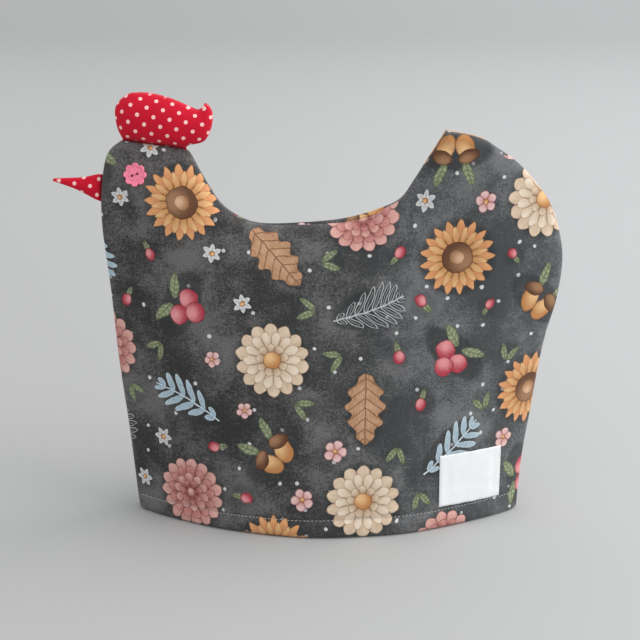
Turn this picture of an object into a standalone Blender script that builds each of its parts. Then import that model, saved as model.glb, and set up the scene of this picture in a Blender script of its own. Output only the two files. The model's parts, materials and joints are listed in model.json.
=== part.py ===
"""A padded tea cosy in the shape of a hen, standing on its hem.

Two padded cloth panels are sewn together along the hen's outline and left open along the hem.
A stuffed comb and a stuffed beak are caught in that seam. A flower-shaped button is the eye on
each side, and a small woven label sits above the hem.

Metres, +Z up. The cosy's length runs along X, its head is at -X, and its front faces -Y.
The origin is on the surface it stands on, in the middle of the whole object's box.
"""
import math

import bmesh
import bpy
import numpy as np
from mathutils import Matrix, Vector
from mathutils.bvhtree import BVHTree

# Clearances
PIECE_GAP = 0.0003          # between two pieces that touch
SEAM_GAP = PIECE_GAP / 2    # from the seam plane y = 0 to each panel

# The hen's outline in (x, z), from the hem up the breast, along the top and down the back
BREAST = [(-0.130, 0.0), (-0.136, 0.064), (-0.142, 0.118), (-0.146, 0.170),
          (-0.1505, 0.215), (-0.1505, 0.240), (-0.1475, 0.2635), (-0.1430, 0.2742),
          (-0.1345, 0.281)]
TOP = [(-0.1345, 0.281), (-0.115, 0.2783), (-0.097, 0.2758), (-0.0875, 0.2735),
       (-0.0825, 0.266), (-0.077, 0.2555), (-0.0645, 0.2355),
       (-0.050, 0.2245), (-0.034, 0.2198), (-0.006, 0.2202), (0.0245, 0.2232),
       (0.049, 0.2298), (0.0665, 0.2378), (0.0765, 0.2515), (0.0857, 0.2664), (0.099, 0.288)]
BACK = [(0.159, 0.0), (0.162, 0.042), (0.167, 0.078), (0.1715, 0.111), (0.1765, 0.138),
        (0.1835, 0.165), (0.1864, 0.195), (0.1815, 0.221), (0.173, 0.240), (0.155, 0.2615),
        (0.137, 0.275), (0.1225, 0.2832), (0.099, 0.288)]

# The padded panels
HEM_DEPTH = 0.059           # from the seam plane to the lining at the middle of the hem
WALL = 0.007                # padded cloth, lining included
SHOULDER = 0.007            # radius of the padded edge along the seam
LEAN = 1.6                  # how late the walls lean in towards the ridge
HEAD_CENTRE = (-0.112, 0.243)
HEAD_FILL = 0.004           # extra roundness of the head
TAIL_CENTRE = (0.140, 0.225)
TAIL_FILL = 0.003           # extra roundness of the tail
FILL_REACH = 0.040          # how far that roundness spreads
HEM_BAND = 0.030            # height of the straight band above the hem
RIDGE_HEIGHT = 0.220         # lowest point of the ridge between head and tail
STITCH_HEIGHT = 0.013       # the hem's topstitching
STITCH_GROOVE = 0.0012      # how deep it pulls the padding in
STITCH_REACH = 0.0045       # half the width of that groove
HEM_ROWS = [0.0, 0.0045, 0.009, STITCH_HEIGHT, 0.017, HEM_BAND]
PANEL_COLUMNS = 36
PANEL_ROWS = 15             # above the hem band

# Stuffed comb and beak, each with a flat tab that goes down into the seam
TAB_HALF = 0.0004
TAB_LENGTH = 0.006
TAB_SPREAD = (0.009, 0.020)     # full and zero widening of the seam, by distance from a tab
COMB_HALF = 0.0145
COMB_ROUND = 0.0155
COMB_GRID = 16, 8
COMB_INTO_SEAM = (0.14, -0.99)
COMB_BASE = [(-0.1338, 0.2816), (-0.0882, 0.2752)]
COMB_FRONT = [(-0.1338, 0.2816), (-0.1372, 0.289), (-0.1388, 0.299), (-0.1380, 0.3055),
              (-0.1345, 0.3102)]
COMB_TOP = [(-0.1345, 0.3102), (-0.1300, 0.3134), (-0.1247, 0.3150), (-0.1118, 0.3144), (-0.0976, 0.3105),
            (-0.0863, 0.3056), (-0.0785, 0.3030), (-0.0741, 0.3079)]
COMB_REAR = [(-0.0882, 0.2752), (-0.0826, 0.2780), (-0.0746, 0.2809), (-0.0694, 0.2909),
             (-0.0685, 0.2990), (-0.0741, 0.3079)]
BEAK_HALF = 0.0075
BEAK_ROUND = 0.0095
BEAK_BASE = [(-0.1512, 0.2360), (-0.1492, 0.2562)]
BEAK_UNDER = [(-0.1512, 0.2360), (-0.1628, 0.2413), (-0.1735, 0.2460), (-0.1852, 0.2507)]
BEAK_TIP = [(-0.1852, 0.2507), (-0.1860, 0.2521), (-0.1849, 0.2532)]
BEAK_GRID = 8, 8
BEAK_INTO_SEAM = (0.995, -0.1)
BEAK_OVER = [(-0.1492, 0.2562), (-0.1622, 0.2548), (-0.1735, 0.2542), (-0.1849, 0.2532)]

# Button eye
BUTTON_RADIUS = 0.00875
BUTTON_WAIST = 0.0072       # radius between two petals
BUTTON_THICKNESS = 0.0026
BUTTON_PETALS = 8
BUTTON_SIDES = 5            # steps around one petal
PETAL_FULLNESS = 0.7        # below 1 the petals are blunt
# Loops from the back to the hub: share of the outline, share of the thickness, and from 0, as
# lobed as the petals, to 1, round
BUTTON_LOOPS = [(0.93, 0.0, 0.0), (1.0, 0.25, 0.0), (1.0, 0.6, 0.0), (0.93, 0.88, 0.0),
                (0.72, 0.7, 0.5), (0.55, 1.0, 1.0)]
BUTTON_HOLE_RADIUS = 0.0009
BUTTON_HOLE_SPACING = 0.0040
BUTTON_HOLE_SIDES = 10
BUTTON_TURN = math.radians(17)  # of the line through the two holes
BUTTON_SPOT = (-0.1245, 0.2573)
BUTTON_LIFT = 0.0009        # the sewn shank holds it off the cloth

# Label
LABEL_SPAN = (0.0955, 0.1428)   # in x
LABEL_RISE = (0.017, 0.056)     # in z
LABEL_THICKNESS = 0.0008
LABEL_LIFT = 0.0005
LABEL_COLUMNS, LABEL_ROWS = 10, 6

# Finishes: colour and roughness
PRINTED_COTTON = (0.12, 0.11, 0.11), 0.85
POLKA_DOT_COTTON = (0.5, 0.02, 0.04), 0.85
LABEL_RIBBON = (0.85, 0.85, 0.83), 0.7
BUTTON_PLASTIC = (0.85, 0.2, 0.32), 0.25


def curve_through(points, steps=24):
    """A smooth line through a list of points, as closely spaced points."""
    ends = [2 * np.array(points[0]) - points[1]], [2 * np.array(points[-1]) - points[-2]]
    knots = np.array([*ends[0], *points, *ends[1]], dtype=float)
    line = []
    for a, b, c, d in zip(knots, knots[1:], knots[2:], knots[3:]):
        for t in np.arange(steps) / steps:
            line.append(0.5 * (2 * b + (c - a) * t + (2 * a - 5 * b + 4 * c - d) * t * t
                               + (3 * b - a - 3 * c + d) * t ** 3))
    return np.array([*line, knots[-2]])


def along(line, share):
    """The points at the given shares of a line's length."""
    run = np.concatenate([[0], np.cumsum(np.linalg.norm(np.diff(line, axis=0), axis=1))])
    return np.stack([np.interp(share * run[-1], run, line[:, k]) for k in (0, 1)], axis=-1)


def chain(*lines):
    """One line from several that meet end to end, with no point twice."""
    return np.vstack([lines[0], *(line[1:] for line in lines[1:])])


def distance_to(line, x, z):
    """The distance from each point to a line of closely spaced points."""
    start, run = line[:-1], np.diff(line, axis=0)
    point = np.stack([x, z], axis=-1)[..., None, :]
    share = ((point - start) * run).sum(-1) / (run * run).sum(-1)
    nearest = start + np.clip(share, 0, 1)[..., None] * run
    return np.linalg.norm(point - nearest, axis=-1).min(axis=-1)


def patch(bottom, top, left, right, u, v):
    """Blend four sides into a grid of (x, z) points, with rows along v and columns along u."""
    low, high = along(bottom, u)[None], along(top, u)[None]
    first, last = along(left, v)[:, None], along(right, v)[:, None]
    u, v = u[None, :, None], v[:, None, None]
    corners = ((1 - u) * (1 - v) * bottom[0] + u * (1 - v) * bottom[-1]
               + (1 - u) * v * top[0] + u * v * top[-1])
    grid = (1 - v) * low + v * high + (1 - u) * first + u * last - corners
    return grid[..., 0], grid[..., 1]


def rounded(distance, radius):
    """The rise of a quarter circle over its radius, from 0 at the edge to 1."""
    inward = 1 - np.clip(distance / radius, 0, 1)
    return np.sqrt(1 - inward * inward)


def bump(x, z, centre, reach):
    return np.exp(-((x - centre[0]) ** 2 + (z - centre[1]) ** 2) / reach ** 2)


def tab_room(x, z):
    """How much the seam opens around the tabs of the comb and the beak, from 0 to 1."""
    near, far = TAB_SPREAD
    away = np.minimum(distance_to(np.array(COMB_BASE), x, z), distance_to(np.array(BEAK_BASE), x, z))
    return np.clip((far - away) / (far - near), 0, 1)


def panel_grid():
    """The panel's points: x, z, and the depths of its lining and of its outer face."""
    breast, top, back = curve_through(BREAST), curve_through(TOP), curve_through(BACK)
    u = (1 - np.cos(np.pi * np.arange(PANEL_COLUMNS + 1) / PANEL_COLUMNS)) / 2
    rise = np.sin(np.pi / 2 * np.arange(1, PANEL_ROWS + 1) / PANEL_ROWS)

    heights = np.array(HEM_ROWS)
    first, last = (np.interp(heights, side[:, 1], side[:, 0])[:, None] for side in (breast, back))
    band_x = first + u * (last - first)
    band_z = np.repeat(heights[:, None], len(u), axis=1)

    bottom = np.stack([band_x[-1, [0, -1]], band_z[-1, [0, -1]]], axis=-1)
    left = np.vstack([bottom[0], breast[breast[:, 1] > HEM_BAND]])
    right = np.vstack([bottom[1], back[back[:, 1] > HEM_BAND]])
    body_x, body_z = patch(bottom, top, left, right, u, rise)
    x, z = np.vstack([band_x, body_x]), np.vstack([band_z, body_z])

    low = heights / RIDGE_HEIGHT
    v = np.concatenate([low, low[-1] + (1 - low[-1]) * rise])[:, None]
    tent = HEM_DEPTH * 4 * u * (1 - u) * (1 - v ** LEAN)
    edge = distance_to(chain(breast, top, back[::-1]), x, z)
    shoulder = rounded(edge, SHOULDER)
    for fill, centre in ((HEAD_FILL, HEAD_CENTRE), (TAIL_FILL, TAIL_CENTRE)):
        tent += fill * bump(x, z, centre, FILL_REACH) * rounded(edge, FILL_REACH) ** 2
    groove = STITCH_GROOVE * np.clip(1 - np.abs(z - STITCH_HEIGHT) / STITCH_REACH, 0, 1)

    lining = SEAM_GAP + (TAB_HALF + PIECE_GAP - SEAM_GAP) * tab_room(x, z) + tent
    outer = lining + (WALL - groove) * shoulder
    return x, z, lining, outer


def make_object(name, bm, material):
    """Point a closed mesh's faces outwards and put it in the scene."""
    bmesh.ops.recalc_face_normals(bm, faces=bm.faces)
    if bm.calc_volume(signed=True) < 0:
        bmesh.ops.reverse_faces(bm, faces=bm.faces)
    bmesh.ops.triangulate(bm, faces=[f for f in bm.faces if len(f.verts) > 3])
    mesh = bpy.data.meshes.new(name)
    bm.to_mesh(mesh)
    bm.free()
    mesh.shade_smooth()
    mesh.set_sharp_from_angle(angle=math.radians(60))
    mesh.materials.append(material)
    obj = bpy.data.objects.new(name, mesh)
    bpy.context.collection.objects.link(obj)
    return obj


def join_rows(bm, grid):
    """Join rows of vertices with faces, leaving out the corners that have collapsed."""
    for row, next_row in zip(grid, grid[1:]):
        for a, b, c, d in zip(row, row[1:], next_row[1:], next_row):
            corners = list(dict.fromkeys([a, b, c, d]))
            if len(corners) > 2:
                bm.faces.new(corners)


def make_panel(name, facing, material):
    """One padded panel. Lining and outer face meet along the seam and part at the hem."""
    x, z, lining, outer = panel_grid()
    rows, columns = x.shape
    bm = bmesh.new()
    outside, inside = [], []
    for j in range(rows):
        outside.append([])
        inside.append([])
        for i in range(columns):
            on_seam = i in (0, columns - 1) or j == rows - 1
            vert = bm.verts.new((x[j, i], facing * (lining if on_seam else outer)[j, i], z[j, i]))
            outside[j].append(vert)
            inside[j].append(vert if on_seam else bm.verts.new((x[j, i], facing * lining[j, i], z[j, i])))
    join_rows(bm, outside)
    join_rows(bm, inside)
    join_rows(bm, [outside[0], inside[0]])
    return make_object(name, bm, material)


def make_stuffed(name, sides, half, radius, columns, rows, into_seam, material):
    """A stuffed shape, pinched flat along its base into a tab that the seam holds.

    The base is the bottom side. Front and rear share their vertices along the other three.
    """
    bottom, top, left, right = (curve_through(side) for side in sides)
    u = (1 - np.cos(np.pi * np.arange(columns + 1) / columns)) / 2
    v = (1 - np.cos(np.pi * np.arange(rows + 1) / rows)) / 2
    x, z = patch(bottom, top, left, right, u, v)
    edge = distance_to(chain(bottom, right, top[::-1], left[::-1]), x, z)
    depth = np.maximum(half * rounded(edge, radius), TAB_HALF)
    bm = bmesh.new()
    front, rear = [], []
    for facing, skin in ((-1, front), (1, rear)):
        skin.append([bm.verts.new((x[0, i] + into_seam[0] * TAB_LENGTH, facing * TAB_HALF,
                                   z[0, i] + into_seam[1] * TAB_LENGTH)) for i in range(columns + 1)])
        for j in range(rows + 1):
            skin.append([])
            for i in range(columns + 1):
                on_edge = j > 0 and (i in (0, columns) or j == rows)
                if on_edge and skin is rear:
                    skin[-1].append(front[j + 1][i])
                else:
                    y = 0 if on_edge else facing * depth[j, i]
                    skin[-1].append(bm.verts.new((x[j, i], y, z[j, i])))
        join_rows(bm, skin)
    join_rows(bm, [rear[0], front[0]])
    for i in (0, columns):
        bm.faces.new([front[0][i], front[1][i], rear[1][i], rear[0][i]])
        bm.faces.new([front[1][i], front[2][i], rear[1][i]])
    return make_object(name, bm, material)


def petal_radius(angle):
    """The button's outline, with a petal straight up."""
    swell = abs(math.cos(angle * BUTTON_PETALS / 2)) ** PETAL_FULLNESS
    return BUTTON_WAIST + (BUTTON_RADIUS - BUTTON_WAIST) * swell


def button_loop(bm, size, height, roundness):
    """One loop of the button's skin."""
    count = BUTTON_PETALS * BUTTON_SIDES
    verts = []
    for k in range(count):
        angle = 2 * math.pi * k / count
        radius = size * ((1 - roundness) * petal_radius(angle) + roundness * BUTTON_WAIST)
        verts.append(bm.verts.new((radius * math.sin(angle), radius * math.cos(angle),
                                   height * BUTTON_THICKNESS)))
    return verts


def make_button(name, material):
    """A flower-shaped button, facing +Z, with a raised rim, a dished ring and two holes."""
    bm = bmesh.new()
    loops = [button_loop(bm, *numbers) for numbers in BUTTON_LOOPS]
    join_rows(bm, [loop + loop[:1] for loop in loops])
    bm.faces.new(loops[0])
    bm.faces.new(loops[-1])
    button = make_object(name, bm, material)
    for side, off_centre in (("left", -BUTTON_HOLE_SPACING / 2), ("right", BUTTON_HOLE_SPACING / 2)):
        cutter = make_cylinder(f"{name}_hole_{side}", BUTTON_HOLE_RADIUS, 3 * BUTTON_THICKNESS,
                               BUTTON_HOLE_SIDES)
        cutter.location = (off_centre * math.cos(BUTTON_TURN), off_centre * math.sin(BUTTON_TURN), 0)
        cutter.parent = button
        cutter.display_type = "WIRE"
        cutter.hide_render = True
        cut = button.modifiers.new("hole", "BOOLEAN")
        cut.operation = "DIFFERENCE"
        cut.solver = "EXACT"
        cut.object = cutter
    return button


def make_cylinder(name, radius, height, sides):
    bm = bmesh.new()
    bmesh.ops.create_cone(bm, cap_ends=True, segments=sides, radius1=radius, radius2=radius, depth=height)
    mesh = bpy.data.meshes.new(name)
    bm.to_mesh(mesh)
    bm.free()
    obj = bpy.data.objects.new(name, mesh)
    bpy.context.collection.objects.link(obj)
    return obj


def surface_of(obj):
    """The object's mesh as a tree that rays can be cast at."""
    bm = bmesh.new()
    bm.from_mesh(obj.data)
    tree = BVHTree.FromBMesh(bm)
    bm.free()
    return tree


def on_surface(tree, x, z, facing):
    """The point and normal where a line along Y first meets a panel from outside."""
    point, normal, _, _ = tree.ray_cast(Vector((x, facing, z)), Vector((0, -facing, 0)))
    return point, normal if normal.y * facing > 0 else -normal


def place_button(button, tree, facing):
    """Lay the button on the head, tilted as the cloth is there, with its petals upright."""
    point, normal = on_surface(tree, *BUTTON_SPOT, facing)
    up = (Vector((0, 0, 1)) - normal * normal.z).normalized()
    basis = Matrix((up.cross(normal), up, normal)).transposed().to_4x4()
    button.matrix_world = Matrix.Translation(point + normal * BUTTON_LIFT) @ basis


def make_label(name, tree, material):
    """A flat woven label that follows the panel under it."""
    bm = bmesh.new()
    skins = []
    for height in (LABEL_LIFT, LABEL_LIFT + LABEL_THICKNESS):
        grid = []
        for z in np.linspace(*LABEL_RISE, LABEL_ROWS + 1):
            grid.append([])
            for x in np.linspace(*LABEL_SPAN, LABEL_COLUMNS + 1):
                point, normal = on_surface(tree, x, z, -1)
                grid[-1].append(bm.verts.new(point + normal * height))
        skins.append(grid)
    under, over = skins
    join_rows(bm, over)
    join_rows(bm, under)
    for end in (0, -1):
        join_rows(bm, [under[end], over[end]])
        join_rows(bm, [[row[end] for row in under], [row[end] for row in over]])
    return make_object(name, bm, material)


def finish(name, colour, roughness):
    """A plain material."""
    material = bpy.data.materials.new(name)
    material.use_nodes = True
    shader = material.node_tree.nodes["Principled BSDF"]
    shader.inputs["Base Color"].default_value = (*colour, 1)
    shader.inputs["Roughness"].default_value = roughness
    shader.inputs["Metallic"].default_value = 0
    return material


def main():
    for obj in list(bpy.data.objects):
        bpy.data.objects.remove(obj)
    cosy = bpy.data.objects.new("cosy", None)
    bpy.context.collection.objects.link(cosy)

    front = make_panel("front_panel", -1, finish("front_cotton", *PRINTED_COTTON))
    back = make_panel("back_panel", 1, finish("back_cotton", *PRINTED_COTTON))
    comb = make_stuffed("comb", (COMB_BASE, COMB_TOP, COMB_FRONT, COMB_REAR), COMB_HALF, COMB_ROUND,
                        *COMB_GRID, COMB_INTO_SEAM, finish("comb_cotton", *POLKA_DOT_COTTON))
    beak = make_stuffed("beak", (BEAK_BASE, BEAK_TIP, BEAK_UNDER, BEAK_OVER), BEAK_HALF, BEAK_ROUND,
                        *BEAK_GRID, BEAK_INTO_SEAM, finish("beak_cotton", *POLKA_DOT_COTTON))
    front_surface, back_surface = surface_of(front), surface_of(back)
    label = make_label("label", front_surface, finish("label_ribbon", *LABEL_RIBBON))
    eyes = []
    for side, surface, facing in (("front", front_surface, -1), ("back", back_surface, 1)):
        button = make_button(f"button_eye_{side}", finish(f"{side}_button_plastic", *BUTTON_PLASTIC))
        place_button(button, surface, facing)
        eyes.append(button)
    for piece in (front, back, comb, beak, label, *eyes):
        piece.parent = cosy


main()
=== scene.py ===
"""The looks of a padded tea cosy in the shape of a hen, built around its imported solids.

Two padded panels of printed cotton, lined with plain cotton, are sewn together along the hen's
outline. A stuffed comb and beak of polka-dot cotton are caught in that seam. The eyes are
flower buttons, and a blank woven label is sewn above the topstitched hem.

Metres, +Z up. The head is at -X and the front faces -Y.
"""

import json
import math

import bmesh
import bpy
import numpy as np
from bpy.props import FloatProperty, FloatVectorProperty, PointerProperty
from mathutils import Matrix, Vector
from mathutils.bvhtree import BVHTree

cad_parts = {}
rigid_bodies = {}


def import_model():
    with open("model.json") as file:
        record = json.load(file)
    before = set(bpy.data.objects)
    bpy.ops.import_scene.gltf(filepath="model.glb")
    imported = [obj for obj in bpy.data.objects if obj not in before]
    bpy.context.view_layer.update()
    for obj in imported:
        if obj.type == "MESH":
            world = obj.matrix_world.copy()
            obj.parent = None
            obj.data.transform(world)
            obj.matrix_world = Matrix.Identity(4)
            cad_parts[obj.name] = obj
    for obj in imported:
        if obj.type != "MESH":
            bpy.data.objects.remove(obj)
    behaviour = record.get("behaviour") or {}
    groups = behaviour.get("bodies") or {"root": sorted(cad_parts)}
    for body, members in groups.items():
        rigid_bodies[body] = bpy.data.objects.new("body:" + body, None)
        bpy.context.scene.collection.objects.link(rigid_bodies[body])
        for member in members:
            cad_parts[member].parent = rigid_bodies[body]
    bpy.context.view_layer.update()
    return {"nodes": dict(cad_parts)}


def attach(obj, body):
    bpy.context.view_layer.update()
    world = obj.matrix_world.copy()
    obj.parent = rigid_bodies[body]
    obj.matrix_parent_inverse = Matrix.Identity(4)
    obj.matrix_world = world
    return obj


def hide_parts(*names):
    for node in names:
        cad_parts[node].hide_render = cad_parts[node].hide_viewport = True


bl_info = {
    "name": "Hen Tea Cosy",
    "version": (1, 0, 0),
    "blender": (4, 5, 0),
    "location": "3D View > Sidebar > Tea Cosy",
    "description": "Sews a padded hen tea cosy with its trimmings, and sets up a plain studio",
    "category": "Object",
}

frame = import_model()

# The hen's outline in (x, z), from the hem up the breast, along the top and down the back
BREAST = [(-0.130, 0.0), (-0.136, 0.064), (-0.142, 0.118), (-0.146, 0.170),
          (-0.1505, 0.215), (-0.1505, 0.240), (-0.1475, 0.2635), (-0.1430, 0.2742),
          (-0.1345, 0.281)]
TOP = [(-0.1345, 0.281), (-0.115, 0.2783), (-0.097, 0.2758), (-0.0875, 0.2735),
       (-0.0825, 0.266), (-0.077, 0.2555), (-0.0645, 0.2355),
       (-0.050, 0.2245), (-0.034, 0.2198), (-0.006, 0.2202), (0.0245, 0.2232),
       (0.049, 0.2298), (0.0665, 0.2378), (0.0765, 0.2515), (0.0857, 0.2664), (0.099, 0.288)]
BACK = [(0.159, 0.0), (0.162, 0.042), (0.167, 0.078), (0.1715, 0.111), (0.1765, 0.138),
        (0.1835, 0.165), (0.1864, 0.195), (0.1815, 0.221), (0.173, 0.240), (0.155, 0.2615),
        (0.137, 0.275), (0.1225, 0.2832), (0.099, 0.288)]
RIDGE = TOP[6:14]           # between the head and the tail
STEEP_BACK = BACK[:-4]      # up to where the tail turns over
HEM_DEPTH = 0.059           # from the seam plane to the lining at the middle of the hem
LEAN = 1.6                  # how late the walls lean in towards the ridge
HEM_BAND = 0.030            # height of the straight band above the hem
RIDGE_HEIGHT = 0.220        # lowest point of the ridge between head and tail
# Extra roundness: how much, its centre in (x, z), and how far it spreads
HEAD_FILL = 0.004, (-0.112, 0.243), 0.040
TAIL_FILL = 0.003, (0.140, 0.225), 0.040
# How far the front's padding sags along the ridge near the tail, in (x, drop)
RIDGE_SAG = [(-0.034, 0.0), (-0.0056, 0.0008), (0.0105, 0.0014), (0.0229, 0.0022), (0.0347, 0.0028),
             (0.0427, 0.0032), (0.0486, 0.0034), (0.0525, 0.0018), (0.0560, 0.0002), (0.060, 0.0)]
SEAM_BLEND = 0.003          # from the seam to where the front's cloth moves in full
SAG_SPREAD = 0.013          # how far below the ridge the sag fades
SAG_PUSH = 0.35, 0.006      # share of the sag that slides forward beside the seam, and how far that reaches
SAG_BULGE = 0.45, 0.008, 0.007  # share that bulges out, how far below the ridge, and how far it spreads
# The fold at the tail: its depth, where it is, the outline's outward direction there, and its width
# along the outline and length inwards
TAIL_FOLD = 0.0027, (0.1415, 0.2705), (0.60, 0.80), 0.0050, 0.016
FOLD_INTO_PANEL = 0.65      # share of the fold's depth that goes back into the panel
BACK_CUT_AT = np.array((0.3453, 0.1431))   # where on the printed cotton the back panel was cut
SEAM_HALF = 0.00005         # from the seam plane to each panel
TAB_SEAM_HALF = 0.0005      # the same where the seam holds the comb and the beak
TAB_NEAR, TAB_FAR = 0.0008, 0.0060  # how far from such a tab the seam closes again

# The stuffed comb and beak
TAB_HALF = 0.0004           # half of the cloth caught in the seam
TAB_LENGTH = 0.006
COMB_BASE = [(-0.1338, 0.2816), (-0.0882, 0.2752)]
COMB_FRONT = [(-0.1338, 0.2816), (-0.1372, 0.289), (-0.1388, 0.299), (-0.1380, 0.3055),
              (-0.1345, 0.3102)]
COMB_TOP = [(-0.1345, 0.3102), (-0.1300, 0.3134), (-0.1247, 0.3150), (-0.1118, 0.3144),
            (-0.0976, 0.3105), (-0.0863, 0.3056), (-0.0785, 0.3030), (-0.0741, 0.3079)]
COMB_REAR = [(-0.0882, 0.2752), (-0.0871, 0.2768), (-0.0826, 0.2778), (-0.0773, 0.2789),
             (-0.0733, 0.2817), (-0.0694, 0.2905),
             (-0.0685, 0.2990), (-0.0703, 0.3047), (-0.0741, 0.3079)]
COMB_INTO_SEAM = (0.14, -0.99)
BEAK_BASE = [(-0.1512, 0.2360), (-0.1492, 0.2562)]
BEAK_UNDER = [(-0.1512, 0.2360), (-0.1557, 0.2378), (-0.1609, 0.2408), (-0.1698, 0.2454),
              (-0.1817, 0.2498), (-0.1852, 0.2509)]
BEAK_TIP = [(-0.1852, 0.2509), (-0.1860, 0.2521), (-0.1849, 0.2532)]
BEAK_OVER = [(-0.1492, 0.2562), (-0.1535, 0.2562), (-0.1589, 0.2550), (-0.1645, 0.2540),
             (-0.1745, 0.2536), (-0.1849, 0.2532)]
BEAK_INTO_SEAM = (0.995, -0.1)

DOT_TURN = math.radians(35.75)  # of the rows of dots on the cut comb and beak
DOT_START = (-0.003453, -0.00069)
DOT_BLUR = 0.0001           # how far the red and a dot run into each other
REAR_CUT_AT = (0.0031, 0.0047)  # the rear skins were cut from another place on the dotted cotton
BUTTON_SPOT = (-0.1245, 0.2573)
BUTTON_PULL = 0.0075        # how far the dimple under a button spreads
BUTTON_SHIFT = 0.0008       # the sewn button sits this much nearer the middle of the head
BUTTON_TURN = math.radians(20)  # of the line through its two holes
SHANK_SINK = 0.0006         # how much of the shank is down in that dimple
LABEL_SPAN = (0.0955, 0.1428)   # in x
LABEL_RISE = (0.017, 0.056), (0.0158, 0.0568)   # in z, at its left and right ends


# ---------------------------------------------------------------- what a user may change

def a_length(name, description, default):
    return FloatProperty(name=name, description=description, default=default, min=0,
                         unit="LENGTH", precision=4)


def a_colour(name, description, default):
    return FloatVectorProperty(name=name, description=description, default=default, size=3,
                               min=0, max=1, subtype="COLOR")


class CosyClothSettings(bpy.types.PropertyGroup):
    wall: a_length("Padding", "Thickness of the padded cloth, lining included", 0.007)
    shoulder: a_length("Padded edge", "How far the padding rounds off beside the seam", 0.007)
    seam_inset: a_length("Seam depth", "How deep the seam sits between the two padded edges", 0.0013)
    pucker: a_length("Puckers", "Height of the small puckers beside the seam", 0.0007)
    dent: a_length("Dents", "Depth of the soft dents in the panels", 0.0012)
    hem_stitch: a_length("Topstitch height", "Height of the topstitching above the hem", 0.013)
    hem_slant: FloatProperty(name="Topstitch slant", default=0.009, precision=4,
                             description="Rise of the front's topstitching towards the tail")
    hem_groove: a_length("Topstitch groove", "How deep the topstitching pulls in", 0.0012)
    hem_puff: a_length("Hem roll", "How far the hem below the topstitching puffs out", 0.0007)
    hem_round: a_length("Hem edge", "Radius of the folded edge at the bottom", 0.0030)
    button_dimple: a_length("Button dimple", "How deep the sewn button pulls the padding in", 0.0009)
    # The ground and clouds run from the head's colours to the tail's: the print, with painted shade at the
    # head and painted light at the tail
    ground: a_colour("Ground, head", "Dark ground of the print at the head", (0.031, 0.029, 0.028))
    cloud: a_colour("Clouds, head", "Lighter clouds in the ground at the head", (0.150, 0.143, 0.140))
    ground_tail: a_colour("Ground, tail", "Dark ground of the print at the tail",
                          (0.070, 0.076, 0.079))
    cloud_tail: a_colour("Clouds, tail", "Lighter clouds in the ground at the tail",
                         (0.178, 0.184, 0.190))
    lining: a_colour("Lining", "Plain cotton inside", (0.72, 0.66, 0.56))


class CosyTrimSettings(bpy.types.PropertyGroup):
    red: a_colour("Red", "Ground of the comb and the beak", (0.665, 0.009, 0.032))
    dot: a_colour("Dots", "Dots on the comb and the beak", (1.0, 0.60, 0.565))
    dot_size: a_length("Dot", "Diameter of one dot", 0.0028)
    dot_spacing: a_length("Dot spacing", "Between the centres of two dots", 0.00808)
    button: a_colour("Button", "Moulded button", (1.0, 0.25, 0.375))
    button_radius: a_length("Button radius", "Radius over the petals", 0.0088)
    button_thickness: a_length("Button thickness", "Thickness of the button", 0.0024)
    button_lift: a_length("Button lift", "How far the thread shank holds the button off the cloth", 0.0009)
    label: a_colour("Label", "Woven label", (0.90, 0.91, 0.915))
    label_thickness: a_length("Label thickness", "Thickness of the woven label", 0.0005)
    thread: a_colour("Thread", "Topstitching thread", (0.70, 0.71, 0.71))
    thread_width: a_length("Thread width", "Thickness of the topstitching thread", 0.00038)
    stitch: a_length("Stitch", "Length of one stitch", 0.0021)
    stitch_pitch: a_length("Stitch pitch", "From one stitch to the next", 0.0029)


class CosyStudioSettings(bpy.types.PropertyGroup):
    floor: a_colour("Floor", "Plain pale floor", (0.420, 0.420, 0.413))
    floor_lit: a_colour("Floor, lit", "The floor's tone on the side of the light", (0.508, 0.512, 0.510))
    camera_place: FloatVectorProperty(
        name="Camera", description="Where the camera stands", default=(0.0083, -1.0, 0.403),
        size=3, subtype="TRANSLATION", unit="LENGTH")
    camera_tilt: FloatProperty(
        name="Camera tilt", description="How far the camera looks down", unit="ROTATION",
        default=math.radians(14.365))
    lens: FloatProperty(name="Lens", description="Focal length", default=77.94, unit="CAMERA")
    key: FloatProperty(name="Main light", description="Strength of the soft light from the tail side",
                       default=2.25, min=0)
    key_width: FloatProperty(name="Softness", description="How wide the light looks from the floor",
                             default=math.radians(70), unit="ROTATION")
    fill: FloatProperty(name="Sky", description="Strength of the even light", default=0.89, min=0)


# ---------------------------------------------------------------- outlines and grids

def curve_through(points, steps=24):
    """A smooth line through a list of points, as closely spaced points."""
    points = np.array(points, dtype=float)
    knots = np.array([2 * points[0] - points[1], *points, 2 * points[-1] - points[-2]])
    line = []
    for a, b, c, d in zip(knots, knots[1:], knots[2:], knots[3:]):
        for t in np.arange(steps) / steps:
            line.append(0.5 * (2 * b + (c - a) * t + (2 * a - 5 * b + 4 * c - d) * t * t
                               + (3 * b - a - 3 * c + d) * t ** 3))
    return np.array([*line, points[-1]])


def chain(*lines):
    """One line from several that meet end to end, with no point twice."""
    return np.vstack([lines[0], *(line[1:] for line in lines[1:])])


def runs(line):
    """How far along the line each of its points is."""
    return np.concatenate([[0], np.cumsum(np.linalg.norm(np.diff(line, axis=0), axis=1))])


def along(line, share):
    """The points at the given shares of a line's length."""
    run = runs(line)
    return np.stack([np.interp(share * run[-1], run, values) for values in line.T], axis=-1)


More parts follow.
